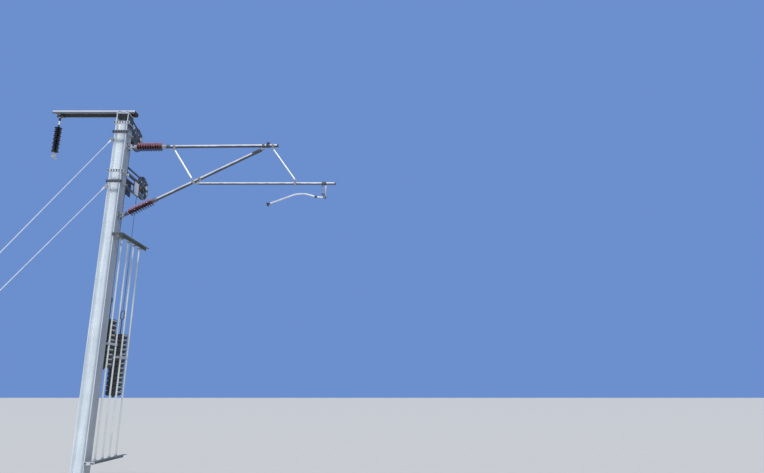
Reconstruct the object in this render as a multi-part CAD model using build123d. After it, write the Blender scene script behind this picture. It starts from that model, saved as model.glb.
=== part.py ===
from build123d import *
import os
from math import atan2, cos, degrees, pi, sin

os.makedirs("parts", exist_ok=True)

# Frame: origin at the centre of the base plate's underside, +X towards the track,
# +Y along the track, +Z up. All sizes are in millimetres.

# Clearances
fit_gap = 0.2            # a clamp round the tube or bar that it holds
pin_gap = 0.3            # a hole round the pin that turns in it
cheek_gap = 1.0          # an ear beside the tongue between two ears
tongue_margin = 2.0      # a tongue is this much slimmer than its ears
weld_overlap = 10.0      # how far a tongue runs into the bar behind it

# Base and column
base_size = 500.0
base_thickness = 30.0
anchor_hole_radius = 21.0
anchor_spacing = 400.0
column_top = 8400.0
column_depth = 260.0     # across the track
column_width = 260.0     # along the track
flange_thickness = 17.0
web_thickness = 10.0
gusset_height = 200.0
gusset_reach = 85.0
gusset_thickness = 12.0
gusset_spacing = 180.0
cap_margin = 10.0
cap_thickness = 12.0

# Clamps that hold brackets to the column: two bars and two tie rods
bar_height = 60.0
bar_thickness = 14.0
tie_radius = 8.0
tie_clearance = 10.0

# Feeder arm on the column top
arm_field_end = -1580.0
arm_track_end = 245.0
arm_width = 200.0
arm_height = 75.0
arm_web = 9.0
arm_flange = 11.0
hanger_x = -1450.0
hanger_plate = 80.0
hanger_thickness = 10.0
lug_thickness = 12.0
lug_drop = 45.0
lug_radius = 24.0
hanger_pin_radius = 9.0
link_rod_radius = 8.0
feeder_link_length = 183.0
feeder_insulator_length = 610.0
feeder_core_radius = 14.0
feeder_shed_radius = 78.0
feeder_small_shed_radius = 60.0
feeder_sheds = 13
feeder_shed_margin = 25.0
ferrule_length = 40.0
ferrule_radius = 20.0
feeder_wire_radius = 9.0
feeder_clamp_drop = 60.0
feeder_clamp_length = 180.0
feeder_clamp_wall = 15.0
feeder_strap_width = 28.0
feeder_strap_length = 60.0
ground_clamp_x = -380.0
ground_clamp_width = 60.0
ground_clamp_foot = 12.0
ground_clamp_roof = 16.0
ground_wire_radius = 6.0

# Cantilever
pin_x = 215.0
upper_pin_drop = 750.0   # below the column top
pin_spacing = 1570.0
hinge_pin_radius = 12.0
lug_gap = 48.0
hinge_lug_thickness = 12.0
hinge_lug_radius = 30.0
hinge_plate_thickness = 12.0
hinge_plate_height = 150.0
hinge_plate_width = 180.0
hinge_pin_tail = 14.0
tongue_radius = 28.0
tongue_height = 36.0
neck_low_reach = 53.0
neck_high_reach = 38.0
neck_margin = 12.0
neck_side_margin = 4.0
ferrule_start = 80.0
ferrule_end = 125.0
hinge_ferrule_radius = 42.0
insulator_length = 570.0
insulator_core_radius = 40.0
insulator_shed_radius = 98.0
insulator_sheds = 10
shed_margin = 28.0
shed_root_share = 0.30   # half the thickness at a shed's root, as a share of the spacing
shed_tip_share = 0.07    # half the thickness at its rim
cap_length = 80.0
tube_insert = 55.0
main_tube_radius = 35.0
main_tube_wall = 5.0
clamp_wall = 11.0
seat_x = 3220.0
seat_rise = 30.0
tube_end_x = 3440.0
end_cap_length = 30.0
end_cap_thickness = 6.0
end_cap_wall = 4.0
messenger_radius = 7.5
messenger_height = 62.0
seat_length = 80.0
saddle_width = 120.0
saddle_length = 50.0
saddle_floor = 12.5
saddle_roof = 15.0
stem_width = 60.0
incline_joint_x = 3120.0
ear_drop = 72.0
ear_half_width = 18.0
ear_thickness = 8.0
tongue_thickness = 14.0
eye_pin_radius = 8.0
clamp_width = 50.0
brace_radius = 21.0
brace_wall = 4.0
brace_foot_shift = 130.0   # from the registration connector back to the brace's lower clamp
brace_lean = 480.0         # how far the brace's top stands back from its foot
registration_drop = 850.0   # below the upper pin
connector_rise = 102.5      # at their connector, the inclined tube's axis over the registration tube's
registration_pin_shift = 40.0  # from the connector back to the registration tube's pin
registration_end_x = 4720.0
registration_radius = 27.5
registration_wall = 5.0
registration_brace_radius = 17.0
registration_brace_top_x = 3330.0
registration_brace_foot_x = 3850.0
end_plate = 12.0
eye_to_socket = 40.0

# Steady arm
support_x = 4450.0
support_ear_half_width = 22.0
steady_pin_x = 4480.0
steady_pin_drop = 320.0  # below the registration tube
steady_radius = 16.0
steady_offsets = [(-180.0, 20.0), (-420.0, 88.0), (-615.0, 76.0), (-1190.0, -144.0)]
steady_bends = [260.0, 320.0, 320.0]
steady_lead = 50.0
contact_wire_radius = 6.5
contact_clamp_length = 90.0
contact_clamp_width = 44.0
contact_clamp_drop = 34.0
contact_clamp_shift = 8.0
contact_clamp_floor = 7.5
contact_clamp_roof = 8.0

# Tension wheels and counterweights
rope_radius = 6.0
groove_radius = 253.5
rope_gap = 0.5
wheel_radius = 283.0
drum_radius = 85.0
drum_flange_radius = 100.0
wheel_half_width = 82.0
wheel_bore_gap = 0.3
wheel_web_half = 8.0
wheel_rim_half = 22.0
wheel_rim_depth = 22.0
wheel_rim_shoulder = 8.0
groove_lip = 7.0
groove_side_gap = 1.0
drum_flange_thickness = 6.0
drum_root = 10.0
drum_flange_root = 4.0
wheel_holes = 6
wheel_hole_radius = 45.0
axle_radius = 15.0
axle_tail = 18.0
frame_plate_gap = 8.0
frame_plate_thickness = 10.0
frame_axle_depth = 35.0  # plate left under the axle
frame_edge = 45.0         # width of the plate left round the window in it
frame_foot_height = 60.0
frame_upright_share = 0.52  # where a frame's upright stands between its post and its axle
frame_upright_part = 0.25   # its width, as a share of the same span
frame_post_thickness = 20.0
frame_nose = 60.0
upper_rope_y = 415.0
lower_rope_y = 1016.0
upper_axle_drop = 270.0  # below the column top
lower_axle_drop = 1250.0
upper_frame_clamps = (50.0, -170.0)    # its two column clamps, from its axle up
lower_frame_clamps = (-100.0, -340.0)
upper_frame_head = 250.0  # how far a frame's post rises above its axle
lower_frame_head = 130.0
frame_arm_head = 130.0   # how far the upper arms rise above the axle at their ends
block_size = 240.0
block_pitch = 99.0
block_seam = 12.0
seam_inset = 22.0
upper_block_count = 10
lower_block_count = 13
upper_stack_lift = 1790.0   # above the lower guide bracket
lower_stack_lift = 1240.0
weight_rod_radius = 12.0
weight_rod_tail = 40.0
weight_nut_radius = 24.0
weight_nut_height = 24.0
weight_plate_thickness = 16.0
weight_plate_size = 200.0
upper_hanger_length = 360.0
lower_hanger_length = 340.0
rope_socket_height = 90.0
rope_socket_radius = 24.0
ring_length = 200.0
ring_width = 90.0
ring_wire = 16.0
upper_guide_lift = 470.0   # above its stack's foot
lower_guide_lift = 780.0
guide_band_height = 50.0
guide_band_thickness = 12.0
guide_rod_radius = 17.0
guide_rod_clearance = 3.0
guide_eye_wall = 10.0
guide_rod_offset_x = 135.0
guide_rod_offset_y = 155.0
upper_bracket_drop = 2760.0   # below the column top
lower_bracket_z = 1160.0
bracket_arm_inner_x = 240.0
bracket_arm_width = 80.0
bracket_arm_height = 60.0
bracket_wall = 8.0
bracket_overhang = 110.0
bracket_hook = 18.0         # the lip behind the flange that a bracket's bars hook on
bracket_hook_depth = 25.0
bracket_lug_width = 60.0
bracket_lug_thickness = 12.0
bracket_lug_margin = 14.0
rod_tail = 30.0

# Guy wires
guy_lug_thickness = 20.0
guy_lug_radius = 34.0
guy_lug_reach = 70.0
guy_hole_radius = 12.0
guy_fork_length = 110.0
guy_fork_cheek = 10.0
guy_fork_width = 44.0
guy_fork_gap = 14.0
guy_fork_root = 30.0
guy_shank_radius = 18.0
guy_wire_radius = 8.0
turnbuckle_length = 420.0
turnbuckle_radius = 22.0
upper_guy_drop = 640.0   # below the column top
lower_guy_drop = 1720.0
anchor_y = -6930.0
anchor_spread = 210.0
anchor_plate_size = 360.0
anchor_plate_thickness = 20.0
anchor_eye_height = 150.0

# Worked out from the sizes above
half_depth = column_depth / 2
half_width = column_width / 2
bar_face = half_width + bar_thickness
tie_x = half_depth + tie_clearance + tie_radius
bar_end = tie_x + 2 * tie_radius + tie_clearance
arm_base_z = column_top + cap_thickness
upper_pin_z = column_top - upper_pin_drop
lower_pin_z = upper_pin_z - pin_spacing
registration_z = upper_pin_z - registration_drop
steady_pin_z = registration_z - steady_pin_drop
steady_points = [(steady_pin_x + x, steady_pin_z + z) for x, z in steady_offsets]
upper_axle_z = column_top - upper_axle_drop
lower_axle_z = column_top - lower_axle_drop
upper_bracket_z = column_top - upper_bracket_drop
upper_stack_z = lower_bracket_z + upper_stack_lift
lower_stack_z = lower_bracket_z + lower_stack_lift
upper_guide_z = upper_stack_z + upper_guide_lift
lower_guide_z = lower_stack_z + lower_guide_lift
upper_guy_z = column_top - upper_guy_drop
lower_guy_z = column_top - lower_guy_drop
rope_pitch_radius = groove_radius + rope_radius + rope_gap
upper_angle = atan2(seat_rise, seat_x - pin_x)
bracket_arm_outer_x = bracket_arm_inner_x + bracket_arm_width
guy_x = flange_thickness / 2 - half_depth


def save(name, shape):
    """Write one named piece to its own STEP file."""
    export_step(shape, f"parts/{name}.step")


def block(x0, x1, y0, y1, z0, z1):
    """A box between two corners."""
    middle = Pos((x0 + x1) / 2, (y0 + y1) / 2, (z0 + z1) / 2)
    return middle * Box(x1 - x0, y1 - y0, z1 - z0)


def rod(start, end, radius, bore=0.0):
    """A round bar from start to end, or a tube where bore is its inner radius."""
    axis = Vector(*end) - Vector(*start)
    seat = Plane(origin=start, z_dir=axis)
    base = (Align.CENTER, Align.CENTER, Align.MIN)
    body = seat * Cylinder(radius, axis.length, align=base)
    if bore > 0:
        body -= seat * Cylinder(bore, axis.length, align=base)
    return body


def cross_pin(x, z, radius, half_length):
    """A round pin along Y through the point (x, z)."""
    return rod((x, -half_length, z), (x, half_length, z), radius)


def link_plate(a, b, half_width_of_link, y0, y1):
    """A flat link in the XZ plane from point a to point b, round at both ends."""
    length = ((b[0] - a[0]) ** 2 + (b[1] - a[1]) ** 2) ** 0.5
    tilt = degrees(atan2(b[1] - a[1], b[0] - a[0]))
    face = Pos(length / 2, 0) * SlotCenterToCenter(length, 2 * half_width_of_link)
    flat = extrude(face, y1 - y0)
    upright = Plane(origin=(a[0], y0, a[1]), x_dir=(1, 0, 0), z_dir=(0, -1, 0))
    turned = upright * Rot(0, 0, tilt) * Pos(0, 0, -(y1 - y0)) * flat
    return turned


def shaft_point(pin, angle, distance):
    """The point at a distance from a hinge pin along a shaft at an angle in XZ."""
    return (pin[0] + distance * cos(angle), 0.0, pin[1] + distance * sin(angle))


def tube_z(x):
    """Height of the horizontal tube's axis at x."""
    return upper_pin_z + (x - pin_x) * seat_rise / (seat_x - pin_x)


def near_bar(z):
    """A flat bar across the column's flange tips on its near side."""
    return block(-bar_end, bar_end, -bar_face, -half_width, z - bar_height / 2, z + bar_height / 2)


def far_bar(z):
    """The flat bar across the flange tips on the far side, where the tension frames sit."""
    return block(-bar_end, bar_end, half_width, bar_face, z - bar_height / 2, z + bar_height / 2)


def flange_bar(side, reach, z):
    """A short bar on an edge of the track-side flange, with a lip that hooks behind the flange."""
    low = z - bar_height / 2
    high = z + bar_height / 2
    inner = half_depth - flange_thickness
    y0, y1 = sorted((side * half_width, side * bar_face))
    bar = block(inner - bracket_hook, reach, y0, y1, low, high)
    y0, y1 = sorted((side * (half_width - bracket_hook_depth), side * half_width))
    return bar + block(inner - bracket_hook, inner, y0, y1, low, high)


def tie_rod(side, z):
    """A rod beside the column that draws a near and a far bar together."""
    return rod((side * tie_x, -half_width, z), (side * tie_x, half_width, z), tie_radius)


def shed_profile(length, core, radii, end_margin):
    """Half section of a ribbed insulator: core radius, with one umbrella for each radius."""
    step = (length - 2 * end_margin) / (len(radii) - 1)
    points = [(0.0, 0.0), (core, 0.0)]
    for i, radius in enumerate(radii):
        middle = end_margin + i * step
        root = shed_root_share * step
        tip = shed_tip_share * step
        points += [
            (core, middle - root),
            (radius, middle - root - tip),
            (radius, middle - root + tip),
            (core, middle + root),
        ]
    points += [(core, length), (0.0, length)]
    return make_face(Polyline(*points, close=True))


def ribbed_insulator(start, direction, length, core, radii, end_margin):
    """An insulator's body from start along direction."""
    section = Plane.XZ * shed_profile(length, core, radii, end_margin)
    body = revolve(section, Axis.Z)
    return Plane(origin=start, z_dir=direction) * body


def base_plate():
    """The square plate that stands on the foundation, with four anchor holes."""
    half = base_size / 2
    plate = block(-half, half, -half, half, 0, base_thickness)
    for sx in (-1, 1):
        for sy in (-1, 1):
            x = sx * anchor_spacing / 2
            y = sy * anchor_spacing / 2
            plate -= rod((x, y, 0), (x, y, base_thickness), anchor_hole_radius)
    return plate


def column_flanges():
    """The two flange plates of the H-section, which face the track and the field."""
    inner = half_depth - flange_thickness
    track = block(inner, half_depth, -half_width, half_width, base_thickness, column_top)
    field = block(-half_depth, -inner, -half_width, half_width, base_thickness, column_top)
    return Part() + [track, field]


def column_web():
    """The web plate between the flanges, in the plane of the cantilever."""
    half = web_thickness / 2
    inner = half_depth - flange_thickness
    return block(-inner, inner, -half, half, base_thickness, column_top)


def base_gussets():
    """Four triangular plates that stiffen the flanges at the foot."""
    gussets = []
    for side in (-1, 1):
        for row in (-1, 1):
            x = side * half_depth
            corner = [(x, 0), (x + side * gusset_reach, 0), (x, gusset_height)]
            origin = (0, row * gusset_spacing / 2, base_thickness)
            plane = Plane(origin=origin, x_dir=(1, 0, 0), z_dir=(0, -1, 0))
            face = plane * make_face(Polyline(*corner, close=True))
            gussets.append(extrude(face, gusset_thickness / 2, both=True))
    return Part() + gussets


def feeder_arm():
    """The cross-arm on the column top: a channel laid with its web up."""
    half = arm_width / 2
    top = arm_base_z + arm_height
    web = block(arm_field_end, arm_track_end, -half, half, top - arm_web, top)
    near = block(arm_field_end, arm_track_end, -half, -half + arm_flange, arm_base_z, top)
    far = block(arm_field_end, arm_track_end, half - arm_flange, half, arm_base_z, top)
    return web + near + far


hanger_pin_z = arm_base_z - hanger_thickness - lug_drop


def feeder_hanger():
    """The plate under the arm with the eye that the feeder insulator hangs from."""
    half = arm_width / 2
    reach = hanger_plate / 2
    foot = arm_base_z - hanger_thickness
    t = lug_thickness / 2
    plate = block(hanger_x - reach, hanger_x + reach, -half, half, foot, arm_base_z)
    lug = block(hanger_x - lug_radius, hanger_x + lug_radius, -t, t, hanger_pin_z, foot)
    lug += cross_pin(hanger_x, hanger_pin_z, lug_radius, t)
    return plate + lug - cross_pin(hanger_x, hanger_pin_z, hanger_pin_radius + pin_gap, lug_thickness)


link_foot_z = hanger_pin_z - feeder_link_length
feeder_insulator_foot_z = link_foot_z - 2 * ferrule_length - feeder_insulator_length


def feeder_link():
    """The clevis and long rod between the arm's eye and the insulator."""
    inner = lug_thickness / 2 + cheek_gap
    outer = inner + ear_thickness
    crotch_z = hanger_pin_z - lug_radius - 2 * ear_half_width
    w = ear_half_width
    parts = cross_pin(hanger_x, hanger_pin_z, hanger_pin_radius, outer + ear_thickness)
    for y0, y1 in ((-outer, -inner), (inner, outer)):
        parts += link_plate((hanger_x, crotch_z), (hanger_x, hanger_pin_z), w, y0, y1)
    parts += block(hanger_x - w, hanger_x + w, -outer, outer, crotch_z - w, crotch_z)
    parts += rod((hanger_x, 0, link_foot_z), (hanger_x, 0, crotch_z - w), link_rod_radius)
    return parts


def feeder_ferrule(z):
    """A metal end of the feeder insulator, with its foot at z."""
    return rod((hanger_x, 0, z), (hanger_x, 0, z + ferrule_length), ferrule_radius)


def feeder_insulator():
    """The dark composite insulator with large and small sheds in turn."""
    pair = (feeder_shed_radius, feeder_small_shed_radius)
    radii = [pair[i % 2] for i in range(feeder_sheds)]
    start = (hanger_x, 0, feeder_insulator_foot_z + ferrule_length)
    length = feeder_insulator_length
    return ribbed_insulator(start, (0, 0, 1), length, feeder_core_radius, radii, feeder_shed_margin)


def feeder_clamp():
    """The suspension clamp that carries the feeder wire, with its bore along the track."""
    z = feeder_insulator_foot_z - feeder_clamp_drop
    half = feeder_clamp_length / 2
    body = rod((hanger_x, -half, z), (hanger_x, half, z), feeder_wire_radius + feeder_clamp_wall)
    w = feeder_strap_width / 2
    d = feeder_strap_length / 2
    strap = block(hanger_x - w, hanger_x + w, -d, d, z, feeder_insulator_foot_z)
    bore = rod((hanger_x, -half, z), (hanger_x, half, z), feeder_wire_radius)
    return body + strap - bore


def ground_wire_clamp():
    """The small clamp on top of the arm that holds the ground wire."""
    z = arm_base_z + arm_height
    half = ground_clamp_width / 2
    height = z + ground_clamp_foot + ground_wire_radius
    roof = height + ground_wire_radius + ground_clamp_roof
    body = block(ground_clamp_x - half, ground_clamp_x + half, -half, half, z, roof)
    return body - rod((ground_clamp_x, -half, height), (ground_clamp_x, half, height), ground_wire_radius)


def cantilever_base(pin_z):
    """A hinge bracket on the track-side flange: back plate, two lugs and the upright pin."""
    face = half_depth + hinge_plate_thickness
    half = hinge_plate_width / 2
    rise = hinge_plate_height / 2
    bracket = block(half_depth, face, -half, half, pin_z - rise, pin_z + rise)
    for side in (-1, 1):
        low = pin_z + side * (lug_gap / 2 + hinge_lug_thickness / 2) - hinge_lug_thickness / 2
        high = low + hinge_lug_thickness
        bracket += block(face, pin_x, -hinge_lug_radius, hinge_lug_radius, low, high)
        bracket += rod((pin_x, 0, low), (pin_x, 0, high), hinge_lug_radius)
    reach = lug_gap / 2 + hinge_lug_thickness + hinge_pin_tail
    bracket += rod((pin_x, 0, pin_z - reach), (pin_x, 0, pin_z + reach), hinge_pin_radius)
    return bracket


def hinge_fitting(pin_z, angle):
    """The fitting that turns on an upright pin and holds the insulator at an angle."""
    pin = (pin_x, pin_z)
    half = tongue_height / 2
    start = shaft_point(pin, angle, ferrule_start)
    across = (-sin(angle), cos(angle))
    grip = hinge_ferrule_radius - neck_margin
    outline = [
        (pin_x, pin_z - half),
        (pin_x + neck_low_reach, pin_z - half),
        (start[0] - across[0] * grip, start[2] - across[1] * grip),
        (start[0] + across[0] * grip, start[2] + across[1] * grip),
        (pin_x + neck_high_reach, pin_z + half),
        (pin_x, pin_z + half),
    ]
    upright = Plane(origin=(0, 0, 0), x_dir=(1, 0, 0), z_dir=(0, -1, 0))
    face = upright * make_face(Polyline(*outline, close=True))
    neck = extrude(face, half - neck_side_margin, both=True)
    eye = rod((pin_x, 0, pin_z - half), (pin_x, 0, pin_z + half), tongue_radius)
    ferrule = rod(start, shaft_point(pin, angle, ferrule_end), hinge_ferrule_radius)
    hole = rod((pin_x, 0, pin_z - half), (pin_x, 0, pin_z + half), hinge_pin_radius + pin_gap)
    return neck + eye + ferrule - hole


def cantilever_insulator(pin_z, angle):
    """A glazed rod insulator with equal sheds, between the fitting and the tube's cap."""
    pin = (pin_x, pin_z)
    radii = [insulator_shed_radius] * insulator_sheds
    start = shaft_point(pin, angle, ferrule_end)
    along = (cos(angle), 0, sin(angle))
    return ribbed_insulator(start, along, insulator_length, insulator_core_radius, radii, shed_margin)


def insulator_cap(pin_z, angle):
    """The cap on the far end of an insulator, with a socket for the tube."""
    pin = (pin_x, pin_z)
    start = ferrule_end + insulator_length
    floor = start + cap_length - tube_insert
    end = shaft_point(pin, angle, start + cap_length)
    cap = rod(shaft_point(pin, angle, start), end, main_tube_radius + clamp_wall)
    return cap - rod(shaft_point(pin, angle, floor), end, main_tube_radius + fit_gap)


tube_start = ferrule_end + insulator_length + cap_length - tube_insert
incline_pin = (incline_joint_x, tube_z(incline_joint_x) - ear_drop)
lower_angle = atan2(incline_pin[1] - lower_pin_z, incline_pin[0] - pin_x)


def incline_z(x):
    """Height of the inclined tube's axis at x."""
    return lower_pin_z + (x - pin_x) * sin(lower_angle) / cos(lower_angle)


def tube_clamp(centre, angle, radius, width, pin, half_width_of_ear=ear_half_width):
    """A ring round a tube with two ears that hold a cross pin at the point pin."""
    reach = width / 2
    a = (centre[0] - reach * cos(angle), 0, centre[1] - reach * sin(angle))
    b = (centre[0] + reach * cos(angle), 0, centre[1] + reach * sin(angle))
    inner = tongue_thickness / 2 + cheek_gap
    outer = inner + ear_thickness
    ring = rod(a, b, radius + clamp_wall)
    for y0, y1 in ((-outer, -inner), (inner, outer)):
        ring += link_plate(centre, pin, half_width_of_ear, y0, y1)
    ring += cross_pin(pin[0], pin[1], eye_pin_radius, outer + ear_thickness)
    far = 4 * width
    c = (centre[0] - far * cos(angle), 0, centre[1] - far * sin(angle))
    d = (centre[0] + far * cos(angle), 0, centre[1] + far * sin(angle))
    return ring - rod(c, d, radius + fit_gap)


def tongue(pin, angle, length):
    """A flat eye on a cross pin, with its shank along an angle."""
    end = (pin[0] + length * cos(angle), pin[1] + length * sin(angle))
    half = tongue_thickness / 2
    plate = link_plate(pin, end, ear_half_width - tongue_margin, -half, half)
    return plate - cross_pin(pin[0], pin[1], eye_pin_radius + pin_gap, half)


def closed_tube(pin, angle, end, radius, wall):
    """A tube with a flat tongue welded to its closed end, on a pin, and open at its end."""
    start = shaft_point(pin, angle, eye_to_socket)
    floor = shaft_point(pin, angle, eye_to_socket + end_plate)
    body = rod(start, end, radius) - rod(floor, end, radius - wall)
    return body + tongue(pin, angle, eye_to_socket)


def strut(a, b, radius, wall):
    """A tube between two pins, with a flat tongue at each end."""
    angle = atan2(b[1] - a[1], b[0] - a[0])
    start = shaft_point(a, angle, eye_to_socket)
    end = shaft_point(b, angle + pi, eye_to_socket)
    body = rod(start, end, radius)
    depth = eye_to_socket + end_plate
    body -= rod(shaft_point(a, angle, depth), shaft_point(b, angle + pi, depth), radius - wall)
    return body + tongue(a, angle, eye_to_socket) + tongue(b, angle + pi, eye_to_socket)


def horizontal_tube():
    """The tube from the upper insulator over the track."""
    pin = (pin_x, upper_pin_z)
    start = shaft_point(pin, upper_angle, tube_start)
    end = (tube_end_x, 0, tube_z(tube_end_x))
    return rod(start, end, main_tube_radius, main_tube_radius - main_tube_wall)


def tube_end_cap(x, z, angle, radius, wall):
    """The cap on the free end of a tube: a plug in the bore with a disc over the tube's end."""
    back = shaft_point((x, z), angle, -end_cap_length)
    front = shaft_point((x, z), angle, end_cap_thickness)
    plug = rod(back, (x, 0, z), radius - wall - fit_gap)
    return plug + rod((x, 0, z), front, radius + end_cap_wall)


def messenger_seat():
    """The clamp on the horizontal tube whose saddle carries the messenger wire."""
    half = seat_length / 2
    z = tube_z(seat_x)
    a = shaft_point((seat_x, z), upper_angle, -half)
    b = shaft_point((seat_x, z), upper_angle, half)
    ring = rod(a, b, main_tube_radius + clamp_wall)
    wire_z = z + messenger_height
    low = wire_z - messenger_radius - saddle_floor
    top = wire_z + messenger_radius + saddle_roof
    reach = saddle_length / 2
    side = saddle_width / 2
    saddle = block(seat_x - reach, seat_x + reach, -side, side, low, top)
    stem = block(seat_x - reach, seat_x + reach, -stem_width / 2, stem_width / 2, z, wire_z)
    a = shaft_point((seat_x, z), upper_angle, -seat_length)
    b = shaft_point((seat_x, z), upper_angle, seat_length)
    bore = rod((seat_x, -side, wire_z), (seat_x, side, wire_z), messenger_radius)
    return ring + stem + saddle - rod(a, b, main_tube_radius + fit_gap) - bore


def inclined_tube():
    """The tube from the lower insulator up to the horizontal tube."""
    pin = (pin_x, lower_pin_z)
    foot = shaft_point(pin, lower_angle, tube_start)
    return closed_tube(incline_pin, lower_angle + pi, foot, main_tube_radius, main_tube_wall)


connector_run = (registration_z + connector_rise - lower_pin_z) * cos(lower_angle) / sin(lower_angle)
registration_clamp_x = pin_x + connector_run
brace_foot_x = registration_clamp_x - brace_foot_shift
brace_top_x = brace_foot_x - brace_lean
brace_top = (brace_top_x, tube_z(brace_top_x) - ear_drop)
brace_foot_centre = (brace_foot_x, incline_z(brace_foot_x))
brace_foot = (
    brace_foot_centre[0] - ear_drop * sin(lower_angle),
    brace_foot_centre[1] + ear_drop * cos(lower_angle),
)
registration_pin = (registration_clamp_x - registration_pin_shift, registration_z)
registration_brace_top = (registration_brace_top_x, tube_z(registration_brace_top_x) - ear_drop)
registration_brace_foot = (registration_brace_foot_x, registration_z + ear_drop)


def registration_tube():
    """The level tube that holds the steady arm."""
    end = (registration_end_x, 0, registration_z)
    return closed_tube(registration_pin, 0.0, end, registration_radius, registration_wall)


steady_pin = (steady_pin_x, steady_pin_z)
steady_angle = atan2(steady_points[0][1] - steady_pin_z, steady_points[0][0] - steady_pin_x)


def steady_path():
    """The bent line of the steady arm, from just past its eye to the wire clamp."""
    lead = shaft_point(steady_pin, steady_angle, steady_lead)
    points = [lead] + [(x, 0, z) for x, z in steady_points]
    return FilletPolyline(*points, radius=steady_bends)


def steady_arm():
    """The bent bar that holds the contact wire to one side."""
    path = steady_path()
    section = Plane(origin=path @ 0, z_dir=path % 0) * Circle(steady_radius)
    bar = sweep(section, path=path)
    return bar + tongue(steady_pin, steady_angle, steady_lead + weld_overlap)


def contact_wire_clamp():
    """The clamp at the steady arm's end, with its bore along the track."""
    x, z = steady_points[-1]
    px, pz = steady_points[-2]
    run = ((x - px) ** 2 + (z - pz) ** 2) ** 0.5
    ahead = ((x - px) / run, (z - pz) / run)
    half_x = contact_clamp_width / 2
    half_y = contact_clamp_length / 2
    cx = x + contact_clamp_shift * ahead[0]
    wire_z = z - contact_clamp_drop
    low = wire_z - contact_wire_radius - contact_clamp_floor
    high = z + steady_radius + contact_clamp_roof
    body = block(cx - half_x, cx + half_x, -half_y, half_y, low, high)
    start = (x - 2 * contact_clamp_width * ahead[0], 0, z - 2 * contact_clamp_width * ahead[1])
    socket = rod(start, (x, 0, z), steady_radius + fit_gap)
    return body - socket - rod((cx, -half_y, wire_z), (cx, half_y, wire_z), contact_wire_radius)


plate_inner = wheel_half_width + frame_plate_gap
plate_outer = plate_inner + frame_plate_thickness
frame_start = bar_face + frame_post_thickness


def ratchet_frame(axle_y, axle_z, head, foot_z):
    """The bracket of a tension wheel: a post, two side frames and the axle between them."""
    low = foot_z - frame_foot_height / 2
    high = foot_z + frame_foot_height / 2
    frame = block(-plate_outer, plate_outer, bar_face, frame_start, low, axle_z + head)
    reach = axle_y + frame_nose
    span = axle_y - frame_start
    middle = frame_start + frame_upright_share * span
    half = frame_upright_part * span / 2
    slope = (frame_arm_head - head) / (reach - frame_start)
    sill = axle_z - frame_axle_depth + frame_edge
    near = frame_start + frame_edge
    far = axle_y - frame_nose
    lintel = axle_z + head - frame_edge
    for x0, x1 in ((-plate_outer, -plate_inner), (plate_inner, plate_outer)):
        corners = [
            (frame_start, axle_z - frame_axle_depth),
            (reach, axle_z - frame_axle_depth),
            (reach, axle_z + frame_arm_head),
            (frame_start, axle_z + head),
        ]
        window = [
            (near, sill),
            (far, sill),
            (far, lintel + (far - frame_start) * slope),
            (near, lintel + (near - frame_start) * slope),
        ]
        plane = Plane(origin=(x0, 0, 0), x_dir=(0, 1, 0), z_dir=(1, 0, 0))
        face = make_face(Polyline(*corners, close=True)) - make_face(Polyline(*window, close=True))
        frame += extrude(plane * face, x1 - x0)
        frame += block(x0, x1, frame_start, middle + half, low, high)
        frame += block(x0, x1, middle - half, middle + half, low, axle_z)
    tail = plate_outer + axle_tail
    return frame + rod((-tail, axle_y, axle_z), (tail, axle_y, axle_z), axle_radius)


def ratchet_wheel(axle_y, axle_z):
    """A tension wheel: a grooved rim for the weight rope between two small rope drums."""
    bore = axle_radius + wheel_bore_gap
    w = wheel_half_width
    flange = w - drum_flange_thickness
    web = wheel_web_half
    rim = wheel_rim_half
    web_radius = groove_radius - wheel_rim_depth
    half = [
        (w, bore),
        (w, drum_flange_radius),
        (flange, drum_flange_radius),
        (flange, drum_radius),
        (rim + drum_root, drum_radius),
        (rim + drum_flange_root, drum_flange_radius),
        (web, drum_flange_radius),
        (web, web_radius),
        (rim, groove_radius - wheel_rim_shoulder),
        (rim, wheel_radius),
        (rim - groove_lip, wheel_radius),
        (rope_radius + groove_side_gap, groove_radius),
    ]
    outline = half + [(-x, r) for x, r in reversed(half)]
    wheel = revolve(make_face(Polyline(*outline, close=True)), Axis.X)
    radius = (drum_flange_radius + web_radius) / 2
    for i in range(wheel_holes):
        angle = 2 * pi * i / wheel_holes
        y = radius * cos(angle)
        z = radius * sin(angle)
        wheel -= rod((-web, y, z), (web, y, z), wheel_hole_radius)
    return Pos(0, axle_y, axle_z) * wheel


def weight_stack(y, z, count):
    """A pile of square cast blocks on one rod, each with a smaller seat on top."""
    half = block_size / 2
    inner = half - seam_inset
    solid_height = block_pitch - block_seam
    stack = Part()
    for i in range(count):
        low = z + i * block_pitch
        stack += block(-half, half, y - half, y + half, low, low + solid_height)
        if i < count - 1:
            stack += block(-inner, inner, y - inner, y + inner, low + solid_height, low + block_pitch)
    top = z + count * block_pitch
    return stack - rod((0, y, z), (0, y, top), weight_rod_radius + pin_gap)


def stack_top(z, count):
    """Height of a stack's top face."""
    return z + count * block_pitch - block_seam


def weight_rod(y, z, count, length):
    """The rod through a stack, with its foot plate and nut below."""
    half = weight_plate_size / 2
    foot = z - weight_plate_thickness
    plate = block(-half, half, y - half, y + half, foot, z)
    shaft = rod((0, y, foot - weight_rod_tail), (0, y, stack_top(z, count) + length), weight_rod_radius)
    nut = rod((0, y, foot - weight_nut_height), (0, y, foot), weight_nut_radius)
    return plate + shaft + nut


def rope_socket(y, z):
    """The wedge socket that joins the rope to the rod of the upper stack."""
    return rod((0, y, z), (0, y, z + rope_socket_height), rope_socket_radius)


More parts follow.
